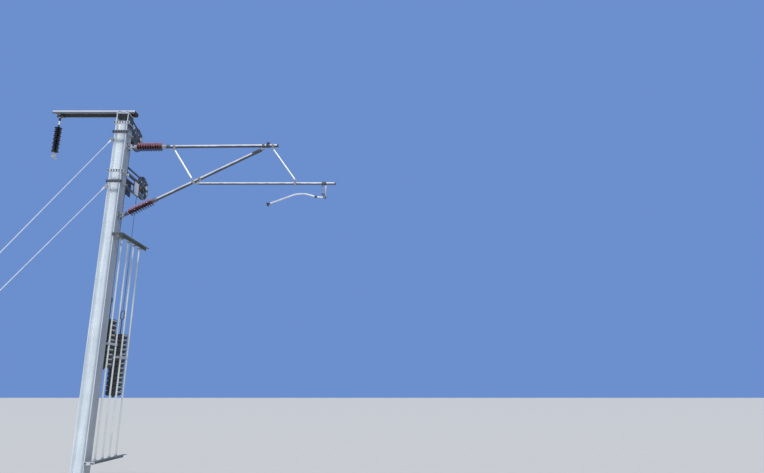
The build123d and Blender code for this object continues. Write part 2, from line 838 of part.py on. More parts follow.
def rope_ring(y, z):
    """The long ring that joins the rope to the rod of the lower stack, welded over the rod's end."""
    middle = z - ring_wire + ring_length / 2
    plane = Plane(origin=(0, y, middle), x_dir=(0, 0, 1), z_dir=(0, 1, 0))
    outer = SlotOverall(ring_length, ring_width)
    inner = SlotOverall(ring_length - 2 * ring_wire, ring_width - 2 * ring_wire)
    return extrude(plane * (outer - inner), ring_wire / 2, both=True)


def weight_guide(y, z):
    """The band round a stack, with two eyes that slide on the guide rods."""
    inner = block_size / 2 + fit_gap
    outer = inner + guide_band_thickness
    half = guide_band_height / 2
    eye = guide_rod_radius + guide_rod_clearance
    band = block(-outer, outer, y - outer, y + outer, z - half, z + half)
    x = guide_rod_offset_x
    rows = [y - guide_rod_offset_y, y + guide_rod_offset_y]
    for row in rows:
        band += rod((x, row, z - half), (x, row, z + half), eye + guide_eye_wall)
    band -= block(-inner, inner, y - inner, y + inner, z - half, z + half)
    for row in rows:
        band -= rod((x, row, z - half), (x, row, z + half), eye)
    return band


rod_rows = [
    upper_rope_y - guide_rod_offset_y,
    upper_rope_y + guide_rod_offset_y,
    lower_rope_y - guide_rod_offset_y,
    lower_rope_y + guide_rod_offset_y,
]


def guide_bracket(z, bore):
    """The arm beside the stacks, with a lug for each guide rod, bored where rods pass through."""
    half = bracket_arm_height / 2
    end = rod_rows[-1] + bracket_overhang
    inner = bracket_arm_inner_x
    outer = bracket_arm_outer_x
    arm = block(inner, outer, -half_width, end, z - half, z + half)
    arm -= block(inner + bracket_wall, outer, -half_width, end, z - half, z + half - bracket_wall)
    x = guide_rod_offset_x
    tip = x - guide_rod_radius - bracket_lug_margin
    low = z - bracket_lug_thickness / 2
    high = z + bracket_lug_thickness / 2
    side = bracket_lug_width / 2
    for y in rod_rows:
        arm += block(tip, inner, y - side, y + side, low, high)
        if bore > 0:
            arm -= rod((x, y, low), (x, y, high), bore)
    return arm


def guide_rods():
    """Four upright rods that stand on the lower bracket's lugs and pass through the upper ones."""
    seat = lower_bracket_z + bracket_lug_thickness / 2
    head = upper_bracket_z + rod_tail
    x = guide_rod_offset_x
    return Part() + [rod((x, y, seat), (x, y, head), guide_rod_radius) for y in rod_rows]


def guy_lug(z):
    """A lug welded to the near edge of the field-side flange, with the eye for a guy wire."""
    half = guy_lug_thickness / 2
    eye_y = -half_width - guy_lug_reach
    left = (guy_x - half, eye_y, z)
    right = (guy_x + half, eye_y, z)
    lug = block(left[0], right[0], eye_y, -half_width, z - guy_lug_radius, z + guy_lug_radius)
    lug += rod(left, right, guy_lug_radius)
    return lug - rod(left, right, guy_hole_radius + pin_gap)


def guy_line(z, row):
    """The two eye points of a guy wire: on the column and on the ground anchor."""
    top = Vector(guy_x, -half_width - guy_lug_reach, z)
    foot = Vector(guy_x, anchor_y + row * anchor_spread / 2, anchor_plate_thickness + anchor_eye_height)
    return top, foot


def guy_fork(eye, ahead):
    """A fork on a guy lug: two cheeks, a cross pin and a round shank."""
    inner = guy_lug_thickness / 2 + cheek_gap
    outer = inner + guy_fork_cheek
    plane = Plane(origin=eye, x_dir=ahead, z_dir=(1, 0, 0))
    crotch = guy_lug_radius + guy_fork_gap
    cheek = Pos(crotch / 2, 0) * SlotCenterToCenter(crotch, guy_fork_width)
    fork = plane * Pos(0, 0, inner) * extrude(cheek, guy_fork_cheek)
    fork += plane * Pos(0, 0, -outer) * extrude(cheek, guy_fork_cheek)
    fork += plane * Pos(crotch + guy_fork_root / 2, 0, 0) * Box(guy_fork_root, guy_fork_width, 2 * outer)
    fork += rod(eye + ahead * (crotch + guy_fork_root / 2), eye + ahead * guy_fork_length, guy_shank_radius)
    pin_half = outer + guy_fork_cheek
    return fork + rod(eye - Vector(pin_half, 0, 0), eye + Vector(pin_half, 0, 0), guy_hole_radius)


def guy_pieces(z, row):
    """One guy: the fork at the column, the turnbuckle with its fork, and the wire."""
    top, foot = guy_line(z, row)
    ahead = (foot - top).normalized()
    barrel_foot = foot - ahead * guy_fork_length
    barrel_top = barrel_foot - ahead * turnbuckle_length
    turnbuckle = rod(barrel_top, barrel_foot, turnbuckle_radius) + guy_fork(foot, ahead * -1)
    wire = rod(top + ahead * guy_fork_length, barrel_top, guy_wire_radius)
    return guy_fork(top, ahead), turnbuckle, wire


def guy_anchor():
    """The anchor plate on the ground with the upright lug for both guys."""
    half = anchor_plate_size / 2
    plate = block(guy_x - half, guy_x + half, anchor_y - half, anchor_y + half, 0, anchor_plate_thickness)
    t = guy_lug_thickness / 2
    spread = anchor_spread / 2 + guy_lug_radius
    eye_z = anchor_plate_thickness + anchor_eye_height
    lug = block(guy_x - t, guy_x + t, anchor_y - spread, anchor_y + spread, anchor_plate_thickness, eye_z)
    for row in (-1, 1):
        y = anchor_y + row * anchor_spread / 2
        lug += rod((guy_x - t, y, eye_z), (guy_x + t, y, eye_z), guy_lug_radius)
    for row in (-1, 1):
        y = anchor_y + row * anchor_spread / 2
        lug -= rod((guy_x - t, y, eye_z), (guy_x + t, y, eye_z), guy_hole_radius + pin_gap)
    return plate + lug


# The fixed mast
save("base_plate", base_plate() + base_gussets())
save("column_flanges", column_flanges())
save("column_web", column_web())
cap_half = half_depth + cap_margin
save("column_cap", block(-cap_half, cap_half, -cap_half, cap_half, column_top, arm_base_z))
save("feeder_arm", feeder_arm())
save("feeder_hanger", feeder_hanger())
save("ground_wire_clamp", ground_wire_clamp())
save("cantilever_bases", Part() + [cantilever_base(upper_pin_z), cantilever_base(lower_pin_z)])

upper_axle_y = upper_rope_y + rope_pitch_radius
lower_axle_y = lower_rope_y + rope_pitch_radius
bars = []
ties = []
frames = []
wheels = [
    ("upper", upper_axle_y, upper_axle_z, upper_frame_head, upper_frame_clamps),
    ("lower", lower_axle_y, lower_axle_z, lower_frame_head, lower_frame_clamps),
]
for name, y, z, head, clamps in wheels:
    for rise in clamps:
        bars += [near_bar(z + rise), far_bar(z + rise)]
        ties += [tie_rod(-1, z + rise), tie_rod(1, z + rise)]
    frames.append(ratchet_frame(y, z, head, z + clamps[-1]))
    save(f"{name}_ratchet_wheel", ratchet_wheel(y, z))
save("ratchet_frames", Part() + frames)

for z in (upper_bracket_z, lower_bracket_z):
    bars += [flange_bar(-1, bracket_arm_outer_x, z), flange_bar(1, bracket_arm_inner_x, z)]
    ties.append(tie_rod(1, z))
brackets = [guide_bracket(upper_bracket_z, guide_rod_radius + pin_gap), guide_bracket(lower_bracket_z, 0.0)]
save("guide_brackets", Part() + brackets)
save("guide_rods", guide_rods())

forks = []
turnbuckles = []
wires = []
lugs = []
for z, row in ((upper_guy_z, -1), (lower_guy_z, 1)):
    fork, turnbuckle, wire = guy_pieces(z, row)
    forks.append(fork)
    turnbuckles.append(turnbuckle)
    wires.append(wire)
    lugs.append(guy_lug(z))
save("guy_lugs", Part() + lugs)
save("guy_forks", Part() + forks)
save("guy_turnbuckles", Part() + turnbuckles)
save("guy_wires", Part() + wires)
save("guy_anchor", guy_anchor())
save("column_clamp_bars", Part() + bars)
save("column_tie_rods", Part() + ties)

# The feeder insulator that swings under the arm
save("feeder_link", feeder_link() + feeder_ferrule(link_foot_z - ferrule_length))
save("feeder_insulator", feeder_insulator())
save("feeder_clamp", feeder_clamp() + feeder_ferrule(feeder_insulator_foot_z))

# The cantilever that turns on the two bases
fittings = []
for name, pin_z, angle in (("upper", upper_pin_z, upper_angle), ("lower", lower_pin_z, lower_angle)):
    fittings.append(hinge_fitting(pin_z, angle))
    fittings.append(insulator_cap(pin_z, angle))
    save(f"{name}_insulator", cantilever_insulator(pin_z, angle))
save("insulator_fittings", Part() + fittings)
save("horizontal_tube", horizontal_tube())
save("messenger_seat", messenger_seat())
save("inclined_tube", inclined_tube())
incline_centre = (incline_joint_x, tube_z(incline_joint_x))
joint = tube_clamp(incline_centre, upper_angle, main_tube_radius, clamp_width, incline_pin)
save("cantilever_connector", joint)
save("cantilever_brace", strut(brace_top, brace_foot, brace_radius, brace_wall))
brace_top_centre = (brace_top_x, tube_z(brace_top_x))
stay_top_centre = (registration_brace_top_x, tube_z(registration_brace_top_x))
stay_foot_centre = (registration_brace_foot_x, registration_z)
brace_clamps = [
    tube_clamp(brace_top_centre, upper_angle, main_tube_radius, clamp_width, brace_top),
    tube_clamp(brace_foot_centre, lower_angle, main_tube_radius, clamp_width, brace_foot),
    tube_clamp(stay_top_centre, upper_angle, main_tube_radius, clamp_width, registration_brace_top),
    tube_clamp(stay_foot_centre, 0.0, registration_radius, clamp_width, registration_brace_foot),
]
save("brace_clamps", Part() + brace_clamps)
connector_centre = (registration_clamp_x, incline_z(registration_clamp_x))
connector = tube_clamp(connector_centre, lower_angle, main_tube_radius, clamp_width, registration_pin)
save("registration_connector", connector)
save("registration_tube", registration_tube())
stay = strut(registration_brace_top, registration_brace_foot, registration_brace_radius, brace_wall)
save("registration_brace", stay)
ear = support_ear_half_width
support = tube_clamp((support_x, registration_z), 0.0, registration_radius, clamp_width, steady_pin, ear)
save("steady_arm_support", support)
end_caps = [
    tube_end_cap(tube_end_x, tube_z(tube_end_x), upper_angle, main_tube_radius, main_tube_wall),
    tube_end_cap(registration_end_x, registration_z, 0.0, registration_radius, registration_wall),
]
save("tube_end_caps", Part() + end_caps)

# The steady arm on its support
save("steady_arm", steady_arm())
save("contact_wire_clamp", contact_wire_clamp())

# The two counterweights that slide on the guide rods
upper_eye_z = stack_top(upper_stack_z, upper_block_count) + upper_hanger_length
lower_eye_z = stack_top(lower_stack_z, lower_block_count) + lower_hanger_length
save("upper_weight_stack", weight_stack(upper_rope_y, upper_stack_z, upper_block_count))
save("lower_weight_stack", weight_stack(lower_rope_y, lower_stack_z, lower_block_count))
save("upper_weight_guide", weight_guide(upper_rope_y, upper_guide_z))
save("lower_weight_guide", weight_guide(lower_rope_y, lower_guide_z))
upper_rod = weight_rod(upper_rope_y, upper_stack_z, upper_block_count, upper_hanger_length)
lower_rod = weight_rod(lower_rope_y, lower_stack_z, lower_block_count, lower_hanger_length)
save("upper_weight_rod", upper_rod + rope_socket(upper_rope_y, upper_eye_z))
save("lower_weight_rod", lower_rod + rope_ring(lower_rope_y, lower_eye_z))

# The ropes from the weights up to their wheels
upper_rope_foot = (0, upper_rope_y, upper_eye_z + rope_socket_height)
lower_rope_foot = (0, lower_rope_y, lower_eye_z + ring_length - ring_wire)
save("upper_weight_rope", rod(upper_rope_foot, (0, upper_rope_y, upper_axle_z), rope_radius))
save("lower_weight_rope", rod(lower_rope_foot, (0, lower_rope_y, lower_axle_z), rope_radius))
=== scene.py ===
# %% [markdown]
# # A railway catenary mast, dressed for its portrait
#
# The solids of the mast come ready made as a frame. This lesson gives them their finishes,
# and replaces or adds the pieces whose fine shape matters: insulators, ropes, wheels, weights,
# clamps and fasteners. Every new surface is an array of points worked out with numpy.

# %% Load the frame
from math import atan2, cos, pi, radians, sin, tan

import bmesh
import bpy
import numpy as np
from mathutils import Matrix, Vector


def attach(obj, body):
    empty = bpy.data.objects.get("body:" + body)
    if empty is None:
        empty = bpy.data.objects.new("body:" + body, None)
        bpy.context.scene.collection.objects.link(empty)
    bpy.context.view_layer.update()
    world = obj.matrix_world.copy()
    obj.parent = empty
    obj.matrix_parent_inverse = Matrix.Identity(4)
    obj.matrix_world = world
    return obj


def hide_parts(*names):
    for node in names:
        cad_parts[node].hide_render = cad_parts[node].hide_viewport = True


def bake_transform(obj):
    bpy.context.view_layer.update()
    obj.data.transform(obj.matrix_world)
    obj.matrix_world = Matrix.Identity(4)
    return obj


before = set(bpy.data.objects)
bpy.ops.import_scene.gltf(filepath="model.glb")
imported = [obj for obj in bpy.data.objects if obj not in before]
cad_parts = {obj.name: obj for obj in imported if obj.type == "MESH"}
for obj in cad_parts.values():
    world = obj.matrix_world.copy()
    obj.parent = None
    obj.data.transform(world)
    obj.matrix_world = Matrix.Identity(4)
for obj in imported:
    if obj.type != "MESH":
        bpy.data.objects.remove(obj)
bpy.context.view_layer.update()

# %% [markdown]
# ## The viewpoint
#
# The photographer stood between two tracks, about 13 m from the mast, and tilted the camera up
# by 15 degrees. A lens of 27 mm on a 36 mm wide sensor gives the same converging edges.
# The camera could be moved until it looks right, but a place worked out from the picture's
# own vanishing lines is quicker and exact.

# %% Camera
camera_data = bpy.data.cameras.new("trackside_camera")
camera_data.lens = 27.14
camera_data.sensor_width = 36.0
camera_data.clip_end = 900.0
camera = bpy.data.objects.new("trackside_camera", camera_data)
camera.location = (5.72, -11.69, 2.44)
camera.rotation_euler = (radians(105.2), 0.0, 0.0)
bpy.context.collection.objects.link(camera)
bpy.context.scene.camera = camera
bpy.context.scene.view_settings.view_transform = "Standard"
print("camera", tuple(camera.location))

# %% [markdown]
# ## Shader sums that read like sums
#
# A shader is a net of nodes, and a net is hard to read in code. So one small class holds
# a node's output and answers to +, - and *, each of which adds a Math node. One method adds
# any other node. After that a finish reads like a formula.

# %% A signal is one output of a shader node
def plug(item, socket):
    """Link a signal to a socket, or write a plain number or colour on the socket."""
    if isinstance(item, Signal):
        socket.id_data.links.new(item.socket, socket)
    elif socket.type == "RGBA":
        socket.default_value = (*item, 1.0)
    else:
        socket.default_value = item


class Signal:
    """One output of a shader node, which adds and multiplies like a number."""

    def __init__(self, socket):
        self.socket = socket

    def node(self, kind, output=0, **given):
        """Any node: words that name its inputs are plugged in, the others are set on the node."""
        made = self.socket.id_data.nodes.new(kind)
        for word, value in given.items():
            name = word.replace("_", " ").title()
            if name in made.inputs:
                plug(value, made.inputs[name])
            else:
                setattr(made, word, value)
        return Signal(made.outputs[output])

    def math(self, operation, *others):
        """A Math node on this signal and the others."""
        made = self.node("ShaderNodeMath", operation=operation)
        for item, socket in zip((self, *others), made.socket.node.inputs):
            plug(item, socket)
        return made

    def __add__(self, other):
        return self.math("ADD", other)

    def __sub__(self, other):
        return self.math("SUBTRACT", other)

    def __rsub__(self, other):
        return self.math("MULTIPLY_ADD", -1.0, other)

    def __mul__(self, other):
        return self.math("MULTIPLY", other)

    __radd__ = __add__
    __rmul__ = __mul__

    def step(self, low, high):
        """0 below low, 1 above high, and a smooth rise between."""
        return self.node(
            "ShaderNodeMapRange", interpolation_type="SMOOTHSTEP", value=self, from_min=low, from_max=high)

    def blend(self, first, second):
        """A colour between two others, with this signal as the share of the second."""
        made = self.node("ShaderNodeMix", output=2, data_type="RGBA")
        for item, number in zip((self, first, second), (0, 6, 7)):
            plug(item, made.socket.node.inputs[number])
        return made

    def parts(self):
        """The three coordinates of a point, each as a signal."""
        split = self.node("ShaderNodeSeparateXYZ", vector=self).socket.node
        return [Signal(socket) for socket in split.outputs]


print("signals ready")

# %% [markdown]
# ## Soft daylight without colour
#
# The part has to show its own colours, so the light is plain: an even grey sky of about 0.4 from
# every side, and one wide soft sun of 2.6 from behind and above the camera. Together they render a
# white card as white. The blue is painted only for rays that come straight from the camera, off
# shiny metal or through something clear, so it doesn't tint the diffuse light.

# %% Sky and sun
world = bpy.data.worlds.new("even_sky")
bpy.context.scene.world = world
world.use_nodes = True
rays = world.node_tree.nodes.new("ShaderNodeLightPath").outputs
seen = Signal(rays["Is Camera Ray"])
for kind in ("Is Glossy Ray", "Is Transmission Ray"):
    seen = seen.math("MAXIMUM", Signal(rays[kind]))
sky_colour = seen.blend((0.38, 0.39, 0.41), (0.150, 0.275, 0.610))
plug(sky_colour, world.node_tree.nodes["Background"].inputs["Color"])

sun_data = bpy.data.lights.new("soft_sun", "SUN")
sun_data.energy = 2.6
sun_data.angle = radians(12.0)
sun = bpy.data.objects.new("soft_sun", sun_data)
sun.rotation_euler = Vector((-0.22, 0.60, -0.77)).to_track_quat("-Z", "Y").to_euler()
bpy.context.collection.objects.link(sun)
print("sun", sun_data.energy)

# %% [markdown]
# ## What every finish shares
#
# A finish starts with a material and the point on the piece in metres, and ends with three links:
# a colour, a roughness and a height that tilts the normal. Between them stands noise, which is
# stretched where rain or a drawing die leaves lines. The pale ground is the first finish made so.

# %% Helpers for finishes
def new_finish(name, metallic, roughness, plain=()):
    """A material, and the point on the piece, in metres, as a signal."""
    made = bpy.data.materials.new(name)
    made.use_nodes = True
    surface = made.node_tree.nodes["Principled BSDF"]
    for word, value in (("Metallic", metallic), ("Roughness", roughness), *plain):
        surface.inputs[word].default_value = value
    return made, Signal(made.node_tree.nodes.new("ShaderNodeTexCoord").outputs["Object"])


def coated(made, colour, roughness=None, height=None, strength=0.0, distance=0.0):
    """Plug a colour, a roughness and the height that tilts the normal into a material's surface."""
    inputs = made.node_tree.nodes["Principled BSDF"].inputs
    plug(colour, inputs["Base Color"])
    if roughness is not None:
        plug(roughness, inputs["Roughness"])
    if height is not None:
        bump = height.node("ShaderNodeBump", height=height, strength=strength, distance=distance)
        plug(bump, inputs["Normal"])
    return made


def clouds(point, scale, detail=4.0, squeeze=(1.0, 1.0, 1.0), tilt=0.0):
    """Noise between 0 and 1, turned by a tilt about y, with more waves along a squeezed axis."""
    if tilt:
        point = point.node("ShaderNodeMapping", vector=point, rotation=(0.0, tilt, 0.0))
    squeezed = point.node("ShaderNodeMapping", vector=point, scale=squeeze)
    return squeezed.node("ShaderNodeTexNoise", vector=squeezed, scale=scale, detail=detail)


half = 300.0
floor_mesh = bpy.data.meshes.new("pale_floor")
corners = [(x * half, y * half, -0.002) for x, y in ((-1, -1), (1, -1), (1, 1), (-1, 1))]
floor_mesh.from_pydata(corners, [], [(0, 1, 2, 3)])
floor = bpy.data.objects.new("pale_floor", floor_mesh)
bpy.context.collection.objects.link(floor)
floor_finish, point = new_finish("pale_floor", 0.0, 0.9)
gravel = clouds(point, 3.0, 5.0).blend((0.56, 0.57, 0.58), (0.62, 0.63, 0.64))
floor_mesh.materials.append(coated(floor_finish, gravel))
print("finish helpers ready, floor", floor.name)

# %% [markdown]
# ## Zinc, alloy, glaze and iron
#
# Nearly everything here is steel dipped in zinc. Fresh zinc has crystals the size of a coin,
# and rain draws it into long dull streaks. A Voronoi texture gives the crystals, one noise gives
# clouds and a second noise, squeezed sideways so that it runs up and down, gives the streaks.
# An image could be used too, but these patterns have no seams and keep their scale anywhere.
#
# A zinc finish can also have boxes with a soft border, in which a darker colour covers it. Most of
# them are painted shade: under the cap and the arm, inside the channel, on the side that faces the
# track, on the web beside a flange and on the lower insulator's fittings. On the bars they make darker bands.

# %% Zinc
def inside(point, low, high, softs):
    """1 in a box, 0 outside, with a soft border: the product of a rise and a fall on each axis."""
    share = 1.0
    for place, start, end, soft in zip(point.parts(), low, high, softs):
        rise, fall = place.step(start - soft, start + soft), 1.0 - place.step(end - soft, end + soft)
        share = rise * fall * share
    return share


def zinc(name, dull, bright, roughness=0.45, metallic=0.35, crystal=42.0, streak=(9.0, 9.0, 0.5), dark_boxes=()):
    """Clouds, streaks and crystals added up, between a dull and a bright colour, with boxes painted darker:
    mostly painted shade.
    """
    made, point = new_finish(name, metallic, roughness)
    patches = clouds(point, 2.2).step(0.32, 0.68)
    rain = clouds(point, 1.6, 6.0, streak).step(0.36, 0.70)
    spangle = point.node("ShaderNodeTexVoronoi", output=1, vector=point, scale=crystal)
    tone = patches * 0.34 + rain * 0.40 + spangle * 0.26
    colour = tone.blend(dull, bright)
    # Each box paints its colour over the finish: painted shade in most boxes, darker bands on the bars.
    for low, high, softs, share, darkening in dark_boxes:
        colour = (inside(point, low, high, softs) * share).blend(colour, darkening)
    height = spangle * 0.4 + clouds(point, 160.0, 3.0) * 0.6
    return coated(made, colour, tone * -0.12 + (roughness + 0.08), height, 0.22, 0.0012)


shade, even = (0.030, 0.035, 0.045), (0.01, 0.01, 0.01)
# Painted shadow of the cap and the arm in the recess at the column's head.
under_cap_shadow = ((-0.118, -0.115, 8.285), (0.118, 0.115, 8.42), even, 0.85, shade)
# Painted shadow of the arm on the track side of the column's head.
head_side_shadow = ((0.1292, -0.14, 8.05), (0.1315, 0.14, 8.45), (0.0006, 0.01, 0.09), 0.85, shade)
# Painted shade over the whole side of the column that faces the track.
track_side_shade = ((0.1292, -0.14, 0.032), (0.1315, 0.14, 8.45), (0.0006, 0.01, 0.01), 0.60, (0.095, 0.12, 0.155))
# Painted shadow of the flange on the half of the web next to it.
web_flange_shadow = ((0.02, -0.06, 0.032), (0.105, 0.06, 8.45), (0.03, 0.03, 0.03), 0.62, (0.17, 0.19, 0.25))
# Painted shade inside the arm's channel, as seen from below.
channel_shade = ((-1.60, -0.0975, 8.40), (0.26, 0.0975, 8.4865), (0.001, 0.001, 0.001), 0.85, shade)
# Painted shade on the lower part of the arm's near flange.
near_flange_shade = ((-1.60, -0.1010, 8.408), (0.26, -0.0990, 8.450), (0.01, 0.0006, 0.004), 0.85, shade)
# Painted shade on the lower insulator's fittings.
lower_fitting_shade = [((0.245, -0.1, 5.95), (1.05, 0.1, 6.65), even, 0.75, (0.055, 0.045, 0.060))]
# The clamp bars are darker at these three heights.
bar_dark_bands = [((-0.4, -0.2, z - 0.05), (0.4, 0.2, z + 0.05), even, 0.82, shade) for z in (7.960, 6.810, 5.640)]

# The column's and the arm's boxes of painted shade.
column_shade, arm_shade = [web_flange_shadow, under_cap_shadow, track_side_shade, head_side_shadow], [channel_shade, near_flange_shade]
column_zinc = zinc("column_zinc", (0.60, 0.67, 0.73), (0.92, 0.97, 0.98), dark_boxes=column_shade)
arm_zinc = zinc("arm_zinc", (0.58, 0.62, 0.66), (0.90, 0.92, 0.94), streak=(0.8, 7.0, 7.0), dark_boxes=arm_shade)
bars_zinc = zinc("bars_zinc", (0.48, 0.50, 0.53), (0.82, 0.84, 0.86), 0.42, 0.35, 50.0, dark_boxes=bar_dark_bands)
fitting_zinc = zinc(
    "fitting_zinc", (0.24, 0.27, 0.30), (0.58, 0.61, 0.64), 0.5, 0.5, 70.0, dark_boxes=lower_fitting_shade)
frame_zinc = zinc("frame_zinc", (0.030, 0.040, 0.050), (0.13, 0.15, 0.18), 0.55, 0.45, 55.0)
dark_zinc = zinc("dark_zinc", (0.035, 0.042, 0.050), (0.17, 0.19, 0.21), 0.5, 0.5, 70.0)
plate_zinc = zinc("plate_zinc", (0.48, 0.50, 0.53), (0.82, 0.84, 0.86), 0.42, 0.35, 50.0)
bolt_zinc = zinc("bolt_zinc", (0.40, 0.42, 0.44), (0.74, 0.76, 0.78), 0.38, 0.65, 120.0)
pipe_zinc = zinc("pipe_zinc", (0.52, 0.58, 0.54), (0.80, 0.85, 0.81), 0.42, 0.3, 60.0, (14.0, 14.0, 0.4))
bracket_zinc = zinc("bracket_zinc", (0.05, 0.07, 0.07), (0.22, 0.26, 0.25), 0.5, 0.4, 55.0, (7.0, 0.6, 7.0))
# Counts of the boxes: painted shade on the column and the arm, darker bands on the bars.
print("boxes of dirt", {"column": len(column_shade), "arm": len(arm_shade), "bars": len(bar_dark_bands)})


# %% Alloy tube
def above_axis(point, start, tilt):
    """Height over a line in the plane y = 0: (z - z0) cos(tilt) - (x - x0) sin(tilt)."""
    along, _, up = point.parts()
    return (up - start[1]) * cos(tilt) - (along - start[0]) * sin(tilt)


def slope(start, end):
    """The angle by which a line between two (x, z) points rises."""
    return atan2(end[1] - start[1], end[0] - start[0])


def drawn_alloy(name, start, end, underside_shade=0.0):
    """Drawn tube between two (x, z) points: fine lines along it, and painted shade on its underside."""
    made, point = new_finish(name, 0.3, 0.38)
    tilt = slope(start, end)
    lines = clouds(point, 3.0, 6.0, (0.5, 26.0, 26.0), tilt)
    film = clouds(point, 5.0, 5.0).step(0.35, 0.7)
    colour = (lines.step(0.3, 0.7) * 0.45 + film * 0.55).blend((0.66, 0.69, 0.73), (0.93, 0.95, 0.97))
    # Painted shade: the tube turns dark below its axis.
    below = 1.0 - (above_axis(point, start, tilt) + film * 0.006).step(-0.016, 0.008)
    colour = (below * underside_shade).blend(colour, (0.040, 0.050, 0.070))
    return coated(made, colour, lines * 0.24 + 0.26, lines + clouds(point, 240.0, 2.0) * 0.3, 0.12, 0.0006)


upper_start, lower_start, tube_z = (0.215, 7.650), (0.215, 6.080), 6.800
upper_end, lower_end, tube_end = (3.220, 7.680), (3.120, 7.607), (4.720, tube_z)
level, incline = slope(upper_start, upper_end), slope(lower_start, lower_end)
# The three main tubes get painted shade on their undersides. The braces and the arm do not.
level_alloy = drawn_alloy("level_alloy", upper_start, upper_end, 0.96)
sloping_alloy = drawn_alloy("sloping_alloy", lower_start, lower_end, 0.96)
lower_alloy = drawn_alloy("lower_alloy", (1.740, tube_z), tube_end, 0.96)
brace_alloy = drawn_alloy("brace_alloy", (1.170, 7.588), (1.617, 6.898))
far_brace_alloy = drawn_alloy("far_brace_alloy", (3.330, 7.609), (3.850, 6.872))
arm_alloy = drawn_alloy("arm_alloy", (3.290, 6.336), (3.865, 6.556))
print("the upper tube rises by", round(level, 3), "and the inclined tube by", round(incline, 3), "radians")


# %% Glaze, silicone, castings and strand
def mark_on(point):
    """The number called mark that a piece's mesh carries at each of its points."""
    return point.node("ShaderNodeAttribute", output=2, attribute_name="mark")


def brown_glaze(name, start, tilt):
    """Glaze on porcelain under a clear coat: maroon valleys of painted shade, red rims of painted light, a
    dark underside of painted shade, and a pale top of dust and painted light.
    """
    made, point = new_finish(name, 0.0, 0.34, (("Coat Weight", 0.6), ("Coat Roughness", 0.12)))
    rim, height = mark_on(point), above_axis(point, start, tilt)
    dust = clouds(point, 38.0, 6.0).step(0.52, 0.8)
    # Painted shade in the valleys between the sheds and painted light on their rims.
    rim_light_valley_shade = (rim + clouds(point, 9.0, 5.0) * 0.5 - 0.25).step(0.25, 1.0)
    tone = rim_light_valley_shade.blend((0.085, 0.010, 0.016), (0.40, 0.075, 0.062))
    # Painted shade: darker towards the insulator's underside.
    tone = height.step(-0.055, 0.025).blend((0.020, 0.002, 0.007), tone)
    # Paler towards the top: settled dust, and painted light where the sun falls on the sheds.
    top_dust_and_light = height.step(0.0, 0.075) * (clouds(point, 24.0, 5.0).step(0.3, 0.6) * 0.45 + 0.4)
    tone = top_dust_and_light.blend(tone, (0.62, 0.33, 0.32))
    tone = (dust * rim * 0.3).blend(tone, (0.58, 0.27, 0.23))
    return coated(made, tone, dust * 0.25 + 0.28, clouds(point, 60.0, 3.0), 0.1, 0.001)


def dark_silicone():
    """Silicone rubber: nearly black, matt, with a veil of grey dust."""
    made, point = new_finish("dark_silicone", 0.0, 0.62, (("Specular IOR Level", 0.25),))
    dust = clouds(point, 26.0, 6.0).step(0.42, 0.78)
    colour = dust.blend((0.003, 0.004, 0.012), (0.016, 0.018, 0.036))
    return coated(made, colour, dust * 0.2 + 0.52, clouds(point, 300.0, 2.0), 0.15, 0.0005)


def cast_iron():
    """Dark coated iron, rough from the sand mould, worn pale where the mesh says so."""
    made, point = new_finish("cast_iron", 0.15, 0.68)
    sand = clouds(point, 190.0, 4.0)
    rust = clouds(point, 14.0, 6.0).step(0.56, 0.74)
    scuffed = (mark_on(point) + clouds(point, 30.0, 5.0) * 0.5 - 0.25).step(0.25, 0.75)
    body = sand.step(0.3, 0.7).blend((0.016, 0.019, 0.024), (0.046, 0.052, 0.060))
    body = (rust * 0.35).blend(body, (0.085, 0.040, 0.022))
    height = sand + clouds(point, 40.0, 3.0) * 0.6
    return coated(made, scuffed.blend(body, (0.52, 0.55, 0.56)), sand * 0.25 + 0.55, height, 0.5, 0.0016)


def cast_alloy():
    """The wheels' cast alloy: grey and grainy, with dark stains."""
    made, point = new_finish("cast_alloy", 0.6, 0.5)
    sand = clouds(point, 150.0, 4.0)
    colour = clouds(point, 7.0, 6.0).step(0.34, 0.7).blend((0.050, 0.058, 0.070), (0.26, 0.28, 0.31))
    return coated(made, colour, sand * 0.3 + 0.36, sand, 0.35, 0.0012)


def wire_strand(name, crown, greased):
    """Galvanised wires, dull where old grease clings to them."""
    made, point = new_finish(name, 0.4, 0.38)
    grease = clouds(point, 11.0, 5.0, (1.0, 1.0, 0.3)).step(0.35, 0.75)
    return coated(made, grease.blend(crown, greased), grease * 0.3 + 0.28)


level_glaze = brown_glaze("brown_glaze_level", upper_start, level)
sloping_glaze = brown_glaze("brown_glaze_sloping", lower_start, incline)
silicone, iron, casting = dark_silicone(), cast_iron(), cast_alloy()
stay_strand = wire_strand("stay_strand", (0.94, 0.95, 0.96), (0.62, 0.65, 0.68))
rope_strand = wire_strand("rope_strand", (0.20, 0.22, 0.26), (0.06, 0.07, 0.09))
print("finishes", len(bpy.data.materials))

# %% [markdown]
# ## Finishes on the solids that stay
#
# Plates, tubes and bars already have their true shape as solids. They stay as they are and only
# get a finish in their material slot.

